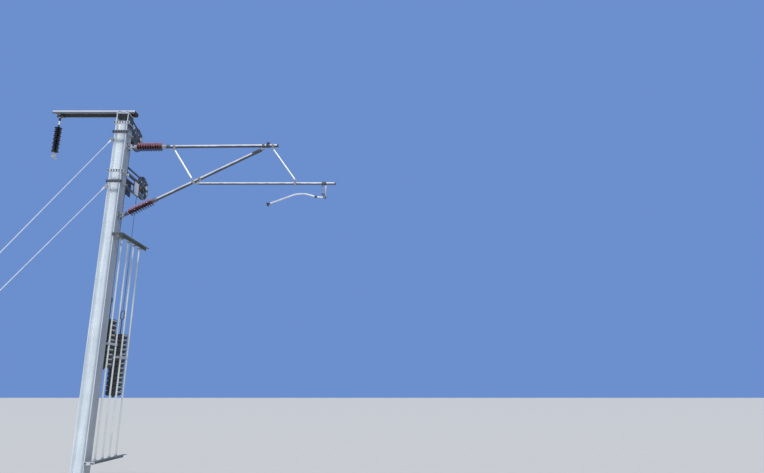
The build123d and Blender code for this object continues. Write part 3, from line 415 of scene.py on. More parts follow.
# %% Dress the solids
dressing = {
    column_zinc: ["base_plate", "column_flanges", "column_web", "column_cap"],
    arm_zinc: ["feeder_arm"],
    bars_zinc: ["column_clamp_bars"],
    dark_zinc: ["cantilever_connector", "feeder_hanger", "feeder_link"],
    frame_zinc: ["ratchet_frames", "upper_weight_rod", "lower_weight_rod"],
    bolt_zinc: ["column_tie_rods", "guy_forks", "upper_weight_guide", "lower_weight_guide"],
    pipe_zinc: ["guide_rods"],
    bracket_zinc: ["guide_brackets"],
    level_alloy: ["horizontal_tube"],
    sloping_alloy: ["inclined_tube"],
    lower_alloy: ["registration_tube"],
    brace_alloy: ["cantilever_brace"],
    far_brace_alloy: ["registration_brace"],
    arm_alloy: ["steady_arm"],
    stay_strand: ["guy_wires"],
    rope_strand: ["upper_weight_rope", "lower_weight_rope"],
    level_glaze: ["upper_insulator"],
    sloping_glaze: ["lower_insulator"],
    silicone: ["feeder_insulator"],
    iron: ["upper_weight_stack", "lower_weight_stack"],
    casting: ["upper_ratchet_wheel", "lower_ratchet_wheel"],
}
finish_of = {name: finish for finish, names in dressing.items() for name in names}
for name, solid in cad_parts.items():
    solid.data.materials.clear()
    solid.data.materials.append(finish_of.get(name, fitting_zinc))
print("dressed", len(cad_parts), "solids, fittings:", sorted(set(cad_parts) - set(finish_of)))

# %% [markdown]
# ## Surfaces from arrays
#
# A surface is a grid of points: one number counts along it, the other round it. Once the points are
# in an array, every shape here needs the same few helpers: a skin over the grid, shapes joined into
# one, a shape copied to many places, and a mesh made of the result.

# %% Skin, join, copy
unturned = np.eye(3)
x_axis, y_axis, z_axis = unturned
push_along_x, push_along_y = unturned[[2, 0, 1]], unturned[[0, 2, 1]]


def mm(*rows):
    """Rows of numbers in millimetres, as an array in metres."""
    return np.array(rows) / 1000.0


def unit(vectors):
    """Vectors made one long: v / |v|."""
    vectors = np.array(vectors, float)
    return vectors / np.linalg.norm(vectors, axis=-1, keepdims=True)


def circle(count):
    """Points evenly round the unit circle: (cos t, sin t)."""
    t = np.linspace(0.0, 2 * pi, count, endpoint=False)
    return np.column_stack([np.cos(t), np.sin(t)])


def spun(angle):
    """The turn by an angle about the third axis."""
    return np.array([(cos(angle), -sin(angle), 0.0), (sin(angle), cos(angle), 0.0), (0.0, 0.0, 1.0)])


def turn_to(direction):
    """Three unit columns: two square to a direction and to each other, and the direction itself."""
    ahead = unit(direction)
    across = unit(np.cross(ahead, z_axis if abs(ahead[2]) < 0.9 else x_axis))
    return np.stack([np.cross(across, ahead), across, ahead], axis=1)


def skin(grid, loop_rows=False):
    """Quads between neighbouring points of a grid whose columns close; open rows get flat caps."""
    rows, cols = grid.shape[:2]
    r, c = np.meshgrid(np.arange(rows if loop_rows else rows - 1), np.arange(cols), indexing="ij")
    r1, c1 = (r + 1) % rows, (c + 1) % cols
    quads = np.stack([r * cols + c, r * cols + c1, r1 * cols + c1, r1 * cols + c], axis=-1).reshape(-1, 4)
    caps = [] if loop_rows else [np.arange(cols)[::-1], np.arange(cols) + (rows - 1) * cols]
    return grid.reshape(-1, 3), quads, caps


def join(shapes):
    """Shapes as one: the points one after another, and the faces' numbers moved on to match."""
    starts = np.cumsum([0] + [len(shape[0]) for shape in shapes])
    points = np.concatenate([shape[0] for shape in shapes])
    quads = np.concatenate([shape[1] + start for shape, start in zip(shapes, starts)])
    caps = [cap + start for shape, start in zip(shapes, starts) for cap in shape[2]]
    return points, quads, caps


def copies(shape, places, turn=unturned):
    """A shape turned and put at many places at once: p' = turn p + each place."""
    places = np.array(places, float).reshape(-1, 1, 3)
    points = (shape[0] @ turn.T)[None] + places
    shift = np.arange(len(places)) * len(shape[0])
    quads = (shape[1][None] + shift[:, None, None]).reshape(-1, 4)
    caps = [cap + start for start in shift for cap in shape[2]]
    return points.reshape(-1, 3), quads, caps


def piece(name, shape, finish, body="mast", replaced=(), sharp=32.0, mark=None):
    """A mesh of a shape or a list of them, faces outward, crisp at edges over the sharp angle."""
    points, quads, caps = join(shape) if isinstance(shape, list) else shape
    mesh = bpy.data.meshes.new(name)
    mesh.from_pydata(points.tolist(), [], quads.tolist() + [cap.tolist() for cap in caps])
    if mark is not None:
        mesh.attributes.new("mark", "FLOAT", "POINT").data.foreach_set("value", mark.astype(np.float32))
    shell = bmesh.new()
    shell.from_mesh(mesh)
    bmesh.ops.recalc_face_normals(shell, faces=shell.faces)
    shell.to_mesh(mesh)
    shell.free()
    mesh.polygons.foreach_set("use_smooth", np.ones(len(mesh.polygons), bool))
    mesh.set_sharp_from_angle(angle=radians(sharp))
    mesh.materials.append(finish)
    made = bpy.data.objects.new(name, mesh)
    bpy.context.collection.objects.link(made)
    if body:
        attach(made, body)
    if replaced:
        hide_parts(*replaced)
    print(f"{name}: {len(points)} points on {body}")
    return made


print("shape helpers ready")

# %% [markdown]
# ## Turned shapes, plates and rounded outlines
#
# Three forms cover most hardware. A profile turned about a line makes caps, drums and sheds.
# An outline pushed along a direction makes plates, with a small chamfer so that edges catch light.
# Cutting the corners of a polygon makes soft castings.

# %% Turned, pushed and rounded
def turned(profile, origin=(0, 0, 0), direction=(0, 0, 1), sides=40, loop=False):
    """Turn (along, radius) pairs about a line: p = o + along d + radius (cos t u + sin t v)."""
    profile = np.array(profile, float)
    ring = profile[:, 1, None, None] * circle(sides)
    along = np.broadcast_to(profile[:, 0, None, None], (len(profile), sides, 1))
    return skin(np.concatenate([ring, along], axis=-1) @ turn_to(direction).T + origin, loop)


def round_bar(start, end, radius, edge=0.0015, sides=20):
    """A bar from start to end, with a small chamfer at both ends."""
    length = float(np.linalg.norm(np.subtract(end, start)))
    profile = [(0, radius - edge), (edge, radius), (length - edge, radius), (length, radius - edge)]
    return turned(profile, start, np.subtract(end, start), sides)


def layers(rows):
    """A grid from rows of an outline and its height on the third axis."""
    return np.stack([np.column_stack([flat, np.full(len(flat), height)]) for flat, height in rows])


def pushed(outline, depth, place, turn=unturned, edge=0.0015):
    """Push a closed outline along the third axis: drawn in by the edge at both faces, whole between."""
    outline = np.array(outline, float)
    middle = outline.mean(axis=0)
    reach = np.abs(outline - middle).mean()
    small = middle + (outline - middle) * (1.0 - edge / reach)
    grid = layers([(small, 0.0), (outline, edge), (outline, depth - edge), (small, depth)])
    return copies(skin(grid), place, turn)


def softened(points):
    """Cut a closed polygon's corners: each side gives the points at a quarter and three quarters of it."""
    ahead = np.roll(points, -1, axis=0)
    return np.stack([0.75 * points + 0.25 * ahead, 0.25 * points + 0.75 * ahead], axis=1).reshape(-1, 2)


def capsule(length, half):
    """The outline of a bar with round ends: two half circles, length apart along the second axis."""
    t = np.linspace(0.0, pi, 10)
    arc = half * np.column_stack([np.cos(t), np.sin(t)])
    return np.concatenate([arc + (0.0, length), -arc])


def rounded_box(low, high, edge=0.002):
    """A box between two corners with chamfered upright edges and faces."""
    low, high = np.array(low, float), np.array(high, float)
    half = (high - low)[:2] / 2
    cut = min(edge * 2, half.min() / 2)
    corner = np.array([(1, 1 - cut / half[1]), (1 - cut / half[0], 1)])
    quarter = [corner, corner[::-1] * (-1, 1), corner * (-1, -1), corner[::-1] * (1, -1)]
    outline = np.concatenate(quarter) * half
    return pushed(outline, high[2] - low[2], (*((low + high)[:2] / 2), low[2]), edge=edge)


print("outline points of a capsule", len(capsule(1.0, 0.1)))

# %% [markdown]
# ## Nuts and bolts
#
# A hexagon nut on a washer, with a bit of threaded bolt beyond it, is made once about the
# upright axis. Its sizes follow the bolt's diameter, as in a standard table. Then it is copied to
# every place that needs one. Real threads would cost thousands of faces, so the bolt's end gets a
# few turned rings.

# %% One fastener, many places
def thread(start, end, pitch, crest, root):
    """A profile whose radius changes between two values at every step of a pitch."""
    steps = np.arange(start, end, pitch)
    return np.column_stack([steps, np.where(np.arange(len(steps)) % 2 == 0, crest, root)])


def fastener(size, tail=0.55):
    """Washer, nut and, with a tail, the bolt's end, all as multiples of the bolt's diameter."""
    shapes = [turned([(0, 1.0), (0.03, 1.05), (0.13, 1.05), (0.16, 1.0)], sides=20),
              turned([(0.16, 0.80), (0.22, 0.90), (0.90, 0.90), (0.97, 0.80)], sides=6)]
    if tail:
        end = 0.97 + tail
        shapes.append(turned([*thread(0.97, end, 0.1, 0.43, 0.50), (end, 0.36)], sides=12))
    points, quads, caps = join(shapes)
    return points * size, quads, caps


def fasteners(places, direction, size, tail=0.55):
    """The same fastener at each place, standing out along one direction."""
    return copies(fastener(size, tail), places, turn_to(direction))


def both_ways(places, axis, reach, size, tail=0.55):
    """Fasteners on two opposite faces: out from each place by a reach along an axis and against it."""
    return join([fasteners(places + way * reach, way, size, tail) for way in (-axis, axis)])


print("points in one fastener", len(fastener(0.016)[0]))

# %% [markdown]
# ## Ribbed insulators
#
# A shed is an umbrella: it slopes away on the side that rain meets and is hollow on the other, so
# that a dry band always remains. One shed's profile is repeated along the insulator and turned
# about its axis. A stack of plain discs would be quicker, but it would lack the drip edge that
# makes a porcelain insulator recognisable.

# %% Shed profiles
thick_shed = np.array([
    (-0.50, 0.00), (-0.32, 0.01), (-0.21, 0.09), (-0.13, 0.32), (-0.07, 0.66), (-0.02, 0.90),
    (0.02, 0.975), (0.06, 0.995), (0.11, 0.965), (0.13, 0.88), (0.105, 0.70), (0.08, 0.45),
    (0.10, 0.24), (0.17, 0.08), (0.32, 0.01),
])
thin_shed = np.array([
    (-0.50, 0.00), (-0.30, 0.02), (-0.17, 0.14), (-0.07, 0.50), (0.00, 0.88), (0.04, 0.975),
    (0.08, 0.995), (0.115, 0.96), (0.12, 0.80), (0.11, 0.45), (0.14, 0.14), (0.26, 0.02),
])


def shed_row(shed, length, margin, core, radii):
    """All sheds: along = margin + (i + a) pitch, radius = core + (rim - core) share; and the share."""
    radii = np.array(radii, float)
    pitch = (length - 2 * margin) / (len(radii) - 1)
    along = margin + (np.arange(len(radii))[:, None] + shed[None, :, 0]) * pitch
    radius = core + (radii[:, None] - core) * shed[None, :, 1]
    body = np.stack([along.ravel(), radius.ravel()], axis=1)
    share = np.tile(shed[:, 1], len(radii))
    return np.concatenate([[(0.0, core)], body, [(length, core)]]), np.concatenate([[0.0], share, [0.0]])


def ahead_at(angle):
    """The direction in the cantilever's plane that rises by an angle from the track side."""
    return np.array([cos(angle), 0.0, sin(angle)])


upper_pin, lower_pin = (np.array([x, 0.0, z]) for x, z in (upper_start, lower_start))
shafts = (("upper", upper_pin, level, level_glaze), ("lower", lower_pin, incline, sloping_glaze))
porcelain_start, porcelain_length, round_steps = 0.125, 0.570, 64
porcelain, share = shed_row(thick_shed, porcelain_length, 0.042, 0.040, [0.098] * 10)
for name, pin, angle, glaze in shafts:
    shape = turned(porcelain, pin + ahead_at(angle) * porcelain_start, ahead_at(angle), round_steps)
    solid, marks = f"{name}_insulator", np.repeat(share, round_steps)
    piece(f"{solid}_sheds", shape, glaze, "cantilever", [solid], 50.0, marks)

feeder_x, feeder = -1.450, "feeder_insulator"
rubber, _ = shed_row(thin_shed, 0.610, 0.028, 0.014, [0.077, 0.067] * 6 + [0.077])
shape = turned(rubber, (feeder_x, 0.0, 8.134), -z_axis, 56)
piece(f"{feeder}_sheds", shape, silicone, feeder, [feeder], 50.0)

# %% [markdown]
# ## Collars and cement
#
# Porcelain is set into its metal ends with a ring of pale cement, and the metal ends have a bead
# round their mouth. A few turned rings, 1 to 3 mm proud of the sleeves, show both. Bolts hold the
# tube in the outer sleeve.

# %% Sleeve collars
def beads(start, direction, places, radius, thick):
    """Round rings about a shaft at places along it, each closed on itself."""
    ring = thick * circle(14)
    return [turned(ring + (along, radius), start, direction, 48, loop=True) for along in places]


for name, pin, angle, _ in shafts:
    ahead = ahead_at(angle)
    collars = beads(pin, ahead, (0.088, 0.118), 0.042, 0.0032)
    collars += beads(pin, ahead, (0.704, 0.768), 0.046, 0.0032)
    piece(f"{name}_sleeve_beads", collars, fitting_zinc, "cantilever")
    bolts = both_ways([pin + ahead * along for along in (0.725, 0.752)], y_axis, 0.0455, 0.010)
    piece(f"{name}_sleeve_bolts", bolts, bolt_zinc, "cantilever")
cement, point = new_finish("pale_cement", 0.0, 0.85)
speckle = clouds(point, 120.0, 5.0)
coated(cement, speckle.blend((0.42, 0.41, 0.38), (0.66, 0.65, 0.61)), None, speckle, 0.4, 0.001)
for name, pin, angle, _ in shafts:
    rings = beads(pin, ahead_at(angle), (0.127, 0.693), 0.0395, 0.0042)
    piece(f"{name}_cement_rings", rings, cement, "cantilever")

# %% [markdown]
# ## Stranded rope
#
# A wire rope is a bundle of strands laid in a spiral. Modelling each strand is heavy, so one tube
# does it: its outline is a ring of round lobes, and the outline turns a little at each step along
# the path. The same surface serves the weight ropes, the stays and the turns on the wheels.

# %% Twisted tube
def lobed(path, side, other, twist, radius, lobes, sides, loop=False):
    """A lobed outline turned along a path: r = R (0.82 + 0.18 |cos(lobes/2 (t - twist))|)."""
    t = np.linspace(0.0, 2 * pi, sides, endpoint=False)
    reach = radius * (0.82 + 0.18 * np.abs(np.cos(lobes / 2 * (t - twist[:, None]))))
    ring = reach[..., None] * (np.cos(t)[:, None] * side[:, None] + np.sin(t)[:, None] * other[:, None])
    return skin(path[:, None] + ring, loop)


def strand(path, radius, lay, lobes=6, sides=36, across=x_axis):
    """A twisted tube along an open path, one turn for each lay: twist = 2 pi s / lay."""
    tangent = unit(np.gradient(path, axis=0))
    travelled = np.concatenate([[0.0], np.cumsum(np.linalg.norm(np.diff(path, axis=0), axis=1))])
    side = unit(np.cross(tangent, across))
    return lobed(path, side, np.cross(tangent, side), 2 * pi * travelled / lay, radius, lobes, sides)


def straight(start, end, spacing):
    """Evenly spaced points from start to end."""
    start, end = np.array(start, float), np.array(end, float)
    share = np.linspace(0.0, 1.0, int(np.linalg.norm(end - start) / spacing) + 2)
    return start + share[:, None] * (end - start)


print("points on a metre of rope", len(strand(straight((0, 0, 0), (0, 0, 1), 0.008), 0.006, 0.09)[0]))

# %% Weight ropes
rope_lay, upper_row, lower_row = 0.085, 0.415, 1.016
for name, body, y, foot, top in (
    ("upper_weight_rope", "upper_weights", upper_row, 4.378, 8.130),
    ("lower_weight_rope", "lower_weights", lower_row, 4.199, 7.150),
):
    shape = strand(straight((0.0, y, foot), (0.0, y, top), 0.010), 0.0062, rope_lay)
    rope = piece(f"{name}_strand", shape, rope_strand, None, [name], sharp=60.0)
    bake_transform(rope)

# %% [markdown]
# ## Tension wheels
#
# Each wheel is a casting: a grooved rim with saw teeth on one edge, a web pierced by six holes,
# and a drum on either side on which the pulled rope is wound. The rim, drums and hub are profiles
# turned about the axle. The web is drawn sector by sector: every line runs from the edge of a hole
# to the border of its sector, so the hole is perfectly round and no boolean is needed.

# %% Web sectors with round holes
hole_at, sixth = 0.16575, pi / 3


def web_sector(middle_angle, inner, outer, hole, half):
    """Lines from a hole to its sector's border: p = h + s (b - h), folded round both faces."""
    ray = circle(96)
    seat = np.array([hole_at, 0.0])
    reach = np.full(len(ray), np.inf)
    for radius in (inner, outer):
        b = ray @ seat
        under = b * b - (hole_at**2 - radius**2)
        root = np.sqrt(np.maximum(under, 0.0))
        for way in (-b - root, -b + root):
            reach = np.where((under >= 0) & (way > 1e-6), np.minimum(reach, way), reach)
    for sign in (-1, 1):
        normal = np.array([-sin(sign * sixth / 2), cos(sign * sixth / 2)]) * sign
        speed = ray @ normal
        way = np.where(speed > 1e-9, -(seat @ normal) / np.where(speed > 1e-9, speed, 1.0), np.inf)
        reach = np.minimum(reach, way)
    edge = 0.0015
    border, rim, lip = seat + ray * reach[:, None], seat + ray * hole, seat + ray * (hole + edge)
    face = half - edge
    rows = [(border, -half), (lip, -half), (rim, -face), (rim, face), (lip, half), (border, half)]
    return skin(layers(rows) @ spun(middle_angle).T, loop_rows=True)


def saw_ring(teeth, inner, low, high, back, front):
    """A toothed edge: the outer radius climbs from low to high over each tooth and drops back."""
    share = np.linspace(0.0, 1.0, teeth * 6, endpoint=False) * teeth % 1.0
    radius = low + (high - low) * np.where(share < 0.8, share / 0.8, (1.0 - share) / 0.2)
    edge = 0.0012
    rows = [(inner, back), (radius - edge, back), (radius, back + edge), (radius, front - edge),
            (radius - edge, front), (inner, front)]
    grid = layers([(circle(teeth * 6) * np.reshape(reach, (-1, 1)), height) for reach, height in rows])
    return skin(grid, loop_rows=True)


print("points in one web sector", len(web_sector(0, 0.096, 0.2345, 0.045, 0.008)[0]))


# %% Wheels with their wound ropes
def wheel_body():
    """Rim, web, hub, drums and ribs, all about the third axis, which is the axle's."""
    rim = mm(
        (-22, 247), (-22, 279), (-20.5, 281.5), (-16.2, 282.5), (-14.8, 280), (-10, 264), (-7.2, 256),
        (-3, 253.7), (3, 253.7), (7.2, 256), (10, 264), (14.8, 280), (15.5, 278), (15.5, 260), (22, 256),
        (22, 247), (17, 237.5), (9, 232.5), (-9, 232.5), (-17, 237.5),
    )
    drum = mm(
        (6, 100), (26, 100), (27.5, 98.5), (30, 90.5), (33, 85.5), (38, 85), (72, 85), (74, 86), (75.5, 98),
        (77, 100), (80.5, 100), (82, 98.5), (82, 76), (79.5, 73), (79.5, 42), (82, 39), (82, 18.5), (80, 16),
        (6, 16),
    )
    centres = sixth * np.arange(6)
    parts = [turned(rim, sides=160, loop=True), saw_ring(72, 0.2560, 0.2700, 0.2826, 0.0152, 0.0220)]
    parts += [web_sector(angle, 0.096, 0.2345, 0.045, 0.008) for angle in centres]
    hole_bead = beads((0, 0, 0), z_axis, [0.0], 0.0500, 0.0035)[0]
    for side in (-1, 1):
        parts.append(turned(drum * (side, 1.0), sides=96, loop=True))
        parts.append(copies(hole_bead, np.column_stack([hole_at * circle(6), np.full(6, side * 0.0085)])))
        rib_at = side * 0.012
        rib = rounded_box((0.098, -0.005, rib_at - 0.006), (0.240, 0.005, rib_at + 0.006), 0.002)
        parts += [copies(rib, (0, 0, 0), spun(angle + sixth / 2)) for angle in centres]
    return join(parts)


def wound_ropes():
    """Rope in the rim's groove and four turns on each drum, as closed strands of whole lays."""
    starts = np.arange(0.0400, 0.0700, 0.0076)
    turns = [(along, 0.0910, 0.0056, 120) for along in (*-starts, *starts)]
    shapes = []
    for along, radius, thick, count in [(0.0, 0.2600, 0.0062, 240), *turns]:
        outward = np.column_stack([np.zeros(count), circle(count)])
        twist = 2 * pi * np.arange(count) / count * round(2 * pi * radius / rope_lay)
        axle = np.tile(x_axis, (count, 1))
        shapes.append(lobed(outward * radius + along * x_axis, outward, axle, twist, thick, 6, 24, True))
    return join(shapes)


wheel_axles = (("upper", 0.675, 8.130), ("lower", 1.276, 7.150))
for name, y, z in wheel_axles:
    shape = copies(wheel_body(), (0.0, y, z), push_along_x)
    replaced = [f"{name}_ratchet_wheel"]
    piece(f"{name}_wheel_casting", shape, casting, f"{name}_wheel", replaced, sharp=35.0)
    shape = copies(wound_ropes(), (0.0, y, z))
    piece(f"{name}_wound_ropes", shape, rope_strand, f"{name}_wheel", sharp=60.0)

# %% [markdown]
# ## Cast counterweights
#
# The weights are square iron blocks threaded on a rod. Each has a recessed band on the two faces
# across the track, where bare metal shows pale, and a raised seat that keeps the next block clear.
# One block is a closed outline carried up through a list of heights. A number called mark tells
# the finish where the band is. Ten blocks and thirteen blocks are copies of the same one.

# %% One block, many copies
def square_outline(half, corner, per_side):
    """A square with arcs at its corners, with the same number of points on each side and arc."""
    t = np.linspace(0.0, pi / 2, 5)
    arc = np.stack([half - corner + corner * np.cos(t), half - corner + corner * np.sin(t)], axis=1)
    run = np.linspace(1, -1, per_side + 2)[1:-1]
    side = np.stack([run * (half - corner), np.full(per_side, half)], axis=1)
    quarter = np.concatenate([arc, side])
    return np.concatenate([quarter @ spun(number * pi / 2)[:2, :2].T for number in range(4)])


def weight_block(half=0.120):
    """One block and its seat below: rows (height, inset, depth of the band), and the band's mark."""
    rows = mm((-12.5, 22, 0), (0, 22, 0), (0, 4, 0), (3.5, 0, 0), (45, 0, 0),
              (48, 0, 9), (74, 0, 9), (77, 0, 0), (83.5, 0, 0), (87, 4, 0))
    across, along = square_outline(half, 0.012, 21).T
    height, inset, depth = rows.T[..., None]
    middle = (np.abs(along) < 0.102) & (np.abs(across) > half - 0.0001)
    shrink = (half - inset) / half
    x = across * shrink - np.sign(across) * depth * middle
    z = np.broadcast_to(height, x.shape)
    return skin(np.stack([x, along * shrink, z], axis=-1)), ((depth > 0) & middle).astype(float).ravel()


block_shape, block_band = weight_block()
block_pitch = 0.099
for name, y, foot, count in (("upper_weight", upper_row, 2.950, 10), ("lower_weight", lower_row, 2.400, 13)):
    places = np.column_stack([np.zeros(count), np.full(count, y), foot + block_pitch * np.arange(count)])
    points, quads, caps = copies(block_shape, places)
    points[:, 2] = np.maximum(points[:, 2], foot)
    bands = np.tile(block_band, count)
    stack = f"{name}_stack"
    piece(f"{stack}_blocks", (points, quads, caps), iron, f"{name}s", [stack], mark=bands)

# %% [markdown]
# ## Stays that are held taut
#
# The two stays run from a lug on the column to the ground anchor. Each is seven-wire strand gripped
# in a tapered sleeve, and a turnbuckle near the ground sets its tension. The strand is the same
# twisted tube as the weight ropes. The turnbuckle is open: two rods join its ends, and a screw
# enters from each.

# %% Stays and turnbuckles
def fork(eye, ahead):
    """Two cheeks with round ends on a cross pin, the root that joins them and the shank."""
    upright = np.stack([np.cross(ahead, x_axis), ahead, x_axis], axis=1)
    root = rounded_box((-0.020, 0.044, -0.021), (0.020, 0.068, 0.021), 0.004)
    shank = mm((64, 19), (75, 20.5), (90, 19.5), (108, 17.5), (110, 16))
    return join([
        *(pushed(capsule(0.048, 0.020), 0.010, eye + x_axis * low, upright) for low in (-0.021, 0.011)),
        copies(root, eye, upright),
        turned(shank, eye, ahead, 24),
        round_bar(eye - x_axis * 0.030, eye + x_axis * 0.030, 0.0118),
        both_ways([eye], x_axis, 0.021, 0.020, 0.2),
    ])


stay_x, lug_heights, anchor_rows = -0.1215, (7.760, 6.680), (-7.035, -6.825)
sleeve = mm((0, 10), (2, 18.5), (50, 17.8), (110, 12.5), (150, 9.5), (151, 6))
end_nut = mm((0, 15), (4, 21.5), (40, 21.5), (46, 16))
screw = thread(0.0, 0.150, 0.0022, 0.0105, 0.0105 * 0.86)
wires, buckles = [], []
for height, anchor_y in zip(lug_heights, anchor_rows):
    top, foot = np.array([stay_x, -0.200, height]), np.array([stay_x, anchor_y, 0.170])
    ahead = unit(foot - top)
    first, last = top + ahead * 0.110, foot - ahead * 0.530
    wires.append(strand(straight(first, last, 0.013), 0.0082, 0.110, 6, 18))
    wires += [turned(sleeve, first, ahead, 20), turned(sleeve, last, -ahead, 20)]
    for offset in (-0.0165, 0.0165):
        rod = last + x_axis * offset
        buckles.append(round_bar(rod + ahead * 0.030, rod + ahead * 0.390, 0.0075, sides=14))
    for nut_at, screw_at, way in ((0.0, 0.020, ahead), (0.420, 0.400, -ahead)):
        buckles.append(turned(end_nut, last + ahead * nut_at, way, 8))
        buckles.append(turned(screw, last + ahead * screw_at, way, 16))
    buckles.append(fork(foot, -ahead))
piece("stay_strands", wires, stay_strand, replaced=["guy_wires"], sharp=60.0)
piece("stay_turnbuckles", buckles, bolt_zinc, replaced=["guy_turnbuckles"])

# %% [markdown]
# ## Clamps that carry wires
#
# A wire lies in a boat-shaped trough, so that it isn't bent sharply where it leaves, and a keeper is
# bolted over it. The boat is a bowl and a bore joined along two lips, narrower and lower towards its
# ends. One function gives the feeder clamp, the messenger seat and the ground wire clamp, and turned
# over it gives their keepers. Each clamp is built about its own wire and then moved to its place.

# %% Trough and keeper
def trough(half_length, width, depth, bore, droop=0.0):
    """A boat along y: x = w cos t, z = -d sin t outside, back along the bore, ends lower by droop s^2."""
    s = np.linspace(-1.0, 1.0, 33)
    t = np.linspace(0.0, pi, 19)
    slim = 1.0 - 0.30 * np.abs(s) ** 3
    flare = 1.0 + 0.35 * s**4
    x = np.concatenate([np.outer(slim, width * np.cos(t)), np.outer(flare, bore * np.cos(t[::-1]))], axis=1)
    z = np.concatenate([np.outer(slim, -depth * np.sin(t)), np.outer(flare, -bore * np.sin(t[::-1]))], axis=1)
    y = np.broadcast_to((s * half_length)[:, None], x.shape)
    return skin(np.stack([x, y, z - droop * s[:, None] ** 2], axis=-1))


def keeper(lift, *sizes):
    """A trough turned over and lifted a little."""
    return copies(trough(*sizes), (0, 0, lift), np.diag([1.0, -1.0, -1.0]))


def hoop(centre, radius, leg, wire):
    """A bent bolt in the XZ plane: a half circle under the centre and a leg up from each of its ends."""
    t = np.linspace(0.0, pi, 17)
    arc = radius * np.column_stack([np.cos(t), np.zeros(17), -np.sin(t)])
    rise = z_axis * np.linspace(leg, leg * 0.1, 6)[:, None]
    path = np.concatenate([arc[0] + rise, arc, arc[-1] + rise[::-1]])
    return strand(path + centre, wire, 1.0, 0, 12, across=y_axis)


print("points in a trough", len(trough(0.09, 0.024, 0.026, 0.0095)[0]))

# %% Feeder couplings and clamp
coupling = mm((0, 9), (4, 24), (12, 26.5), (26, 26.5), (34, 23), (38, 11),
              (52, 11), (56, 22), (64, 25), (80, 25), (88, 21), (92, 9))
piece("feeder_couplings", turned(coupling, (feeder_x, 0.0, 8.178), sides=32), plate_zinc, feeder)
parts = [trough(0.090, 0.024, 0.025, 0.0095, 0.012), keeper(0.001, 0.040, 0.019, 0.015, 0.0092, -0.003)]
for row in (-0.024, 0.024):
    parts.append(hoop((0.0, row, -0.001), 0.0265, 0.030, 0.0042))
    parts.append(rounded_box((-0.033, row - 0.008, 0.012), (0.033, row + 0.008, 0.017), 0.001))
    parts.append(fasteners([(x, row, 0.017) for x in (-0.0265, 0.0265)], z_axis, 0.0085, 0.3))
for start in (-0.0365, 0.0305):
    parts.append(pushed(capsule(0.044, 0.013), 0.006, (start, 0.0, 0.0), push_along_x))
parts.append(both_ways([(0, 0, 0)], x_axis, 0.0365, 0.012, 0.3))
parts.append(rounded_box((-0.0365, -0.018, 0.044), (0.0365, 0.018, 0.058), 0.003))
parts.append(turned(mm((54, 17), (58, 20), (96, 20), (100, 18.5)), sides=28))
clamp = copies(join(parts), (feeder_x, 0.0, 7.424))
piece("feeder_boat_clamp", clamp, plate_zinc, feeder, replaced=["feeder_clamp"])

# %% Ground wire clamp
parts = [
    rounded_box((-0.030, -0.030, -0.018), (0.030, 0.030, -0.0105), 0.0015),
    trough(0.030, 0.014, 0.013, 0.0065),
    keeper(0.0005, 0.014, 0.013, 0.013, 0.0063),
    rounded_box((-0.029, -0.012, 0.001), (0.029, 0.012, 0.0055), 0.001),
    fasteners([(x, 0.0, 0.0055) for x in (-0.021, 0.021)], z_axis, 0.009, 0.86),
]
clamp = copies(join(parts), (-0.380, 0.0, 8.505))
piece("ground_wire_keeper", clamp, fitting_zinc, replaced=["ground_wire_clamp"])

# %% [markdown]
# ## Clamps round the tubes
#
# Each clamp on a tube is cast in two halves, and two bolts on either side draw them together. The
# ears for those bolts are plates in the clamp's own frame: one axis along the tube, one across it
# and one square to both. Their places are worked out from the tubes' axes, so a clamp stays on its
# tube. Nuts close the pins, which lie 72 mm from an axis, and short sleeves cover the tubes' ends.

# %% Ears and bolts of the split clamps
def split_ears(centre, angle, radius, half=0.022):
    """Two pairs of ears beside a tube, with a thin gap between them, and their bolts."""
    ears = beads((0, 0, 0), x_axis, (-0.0225, 0.0225), radius, 0.0026)
    for side in (-1, 1):
        y0, y1 = sorted((side * (radius - 0.004), side * (radius + 0.020)))
        for low, high in ((-0.011, -0.0015), (0.0015, 0.011)):
            ears.append(rounded_box((-half, y0, low), (half, y1, high), 0.002))
    out = radius + 0.009
    spots = np.array([(row, y, 0.0) for row in (-half / 2, half / 2) for y in (-out, out)])
    rise = 0.011 * z_axis
    bolts = [fasteners(spots + rise, z_axis, 0.009, 0.5), fasteners(spots - rise, -z_axis, 0.009, 0.1)]
    turn = np.stack([ahead_at(angle), y_axis, ahead_at(angle + pi / 2)], axis=1)
    return copies(join(ears), centre, turn), copies(join(bolts), centre, turn)


def on_tube(pin, angle, x):
    """The point at x on a tube that rises by an angle from its pin: z = z0 + (x - x0) tan(angle)."""
    return np.array([x, 0.0, pin[2] + (x - pin[0]) * tan(angle)])


pin_gap = 0.072
connector_x = lower_pin[0] + (tube_z + 0.1025 - lower_pin[2]) / tan(incline)
brace_x = connector_x - 0.130
brace_top = on_tube(upper_pin, level, brace_x - 0.480)
brace_foot = on_tube(lower_pin, incline, brace_x)
near_top, far_top = (on_tube(upper_pin, level, x) for x in (3.120, 3.330))
wide_clamp, slim_clamp = 0.046, 0.0385
pale = [
    (brace_top, level, wide_clamp),
    (brace_foot, incline, wide_clamp),
    (on_tube(lower_pin, incline, connector_x), incline, wide_clamp),
    (far_top, level, wide_clamp),
    ((3.850, 0.0, tube_z), 0.0, slim_clamp),
]
dark = [(near_top, level, wide_clamp), ((4.450, 0.0, tube_z), 0.0, slim_clamp)]
ears, bolts = zip(*(split_ears(*place) for place in pale + dark))
piece("pale_clamp_ears", list(ears[:len(pale)]), fitting_zinc, "cantilever")
piece("dark_clamp_ears", list(ears[len(pale):]), dark_zinc, "cantilever")
piece("clamp_bolts", list(bolts), bolt_zinc, "cantilever")

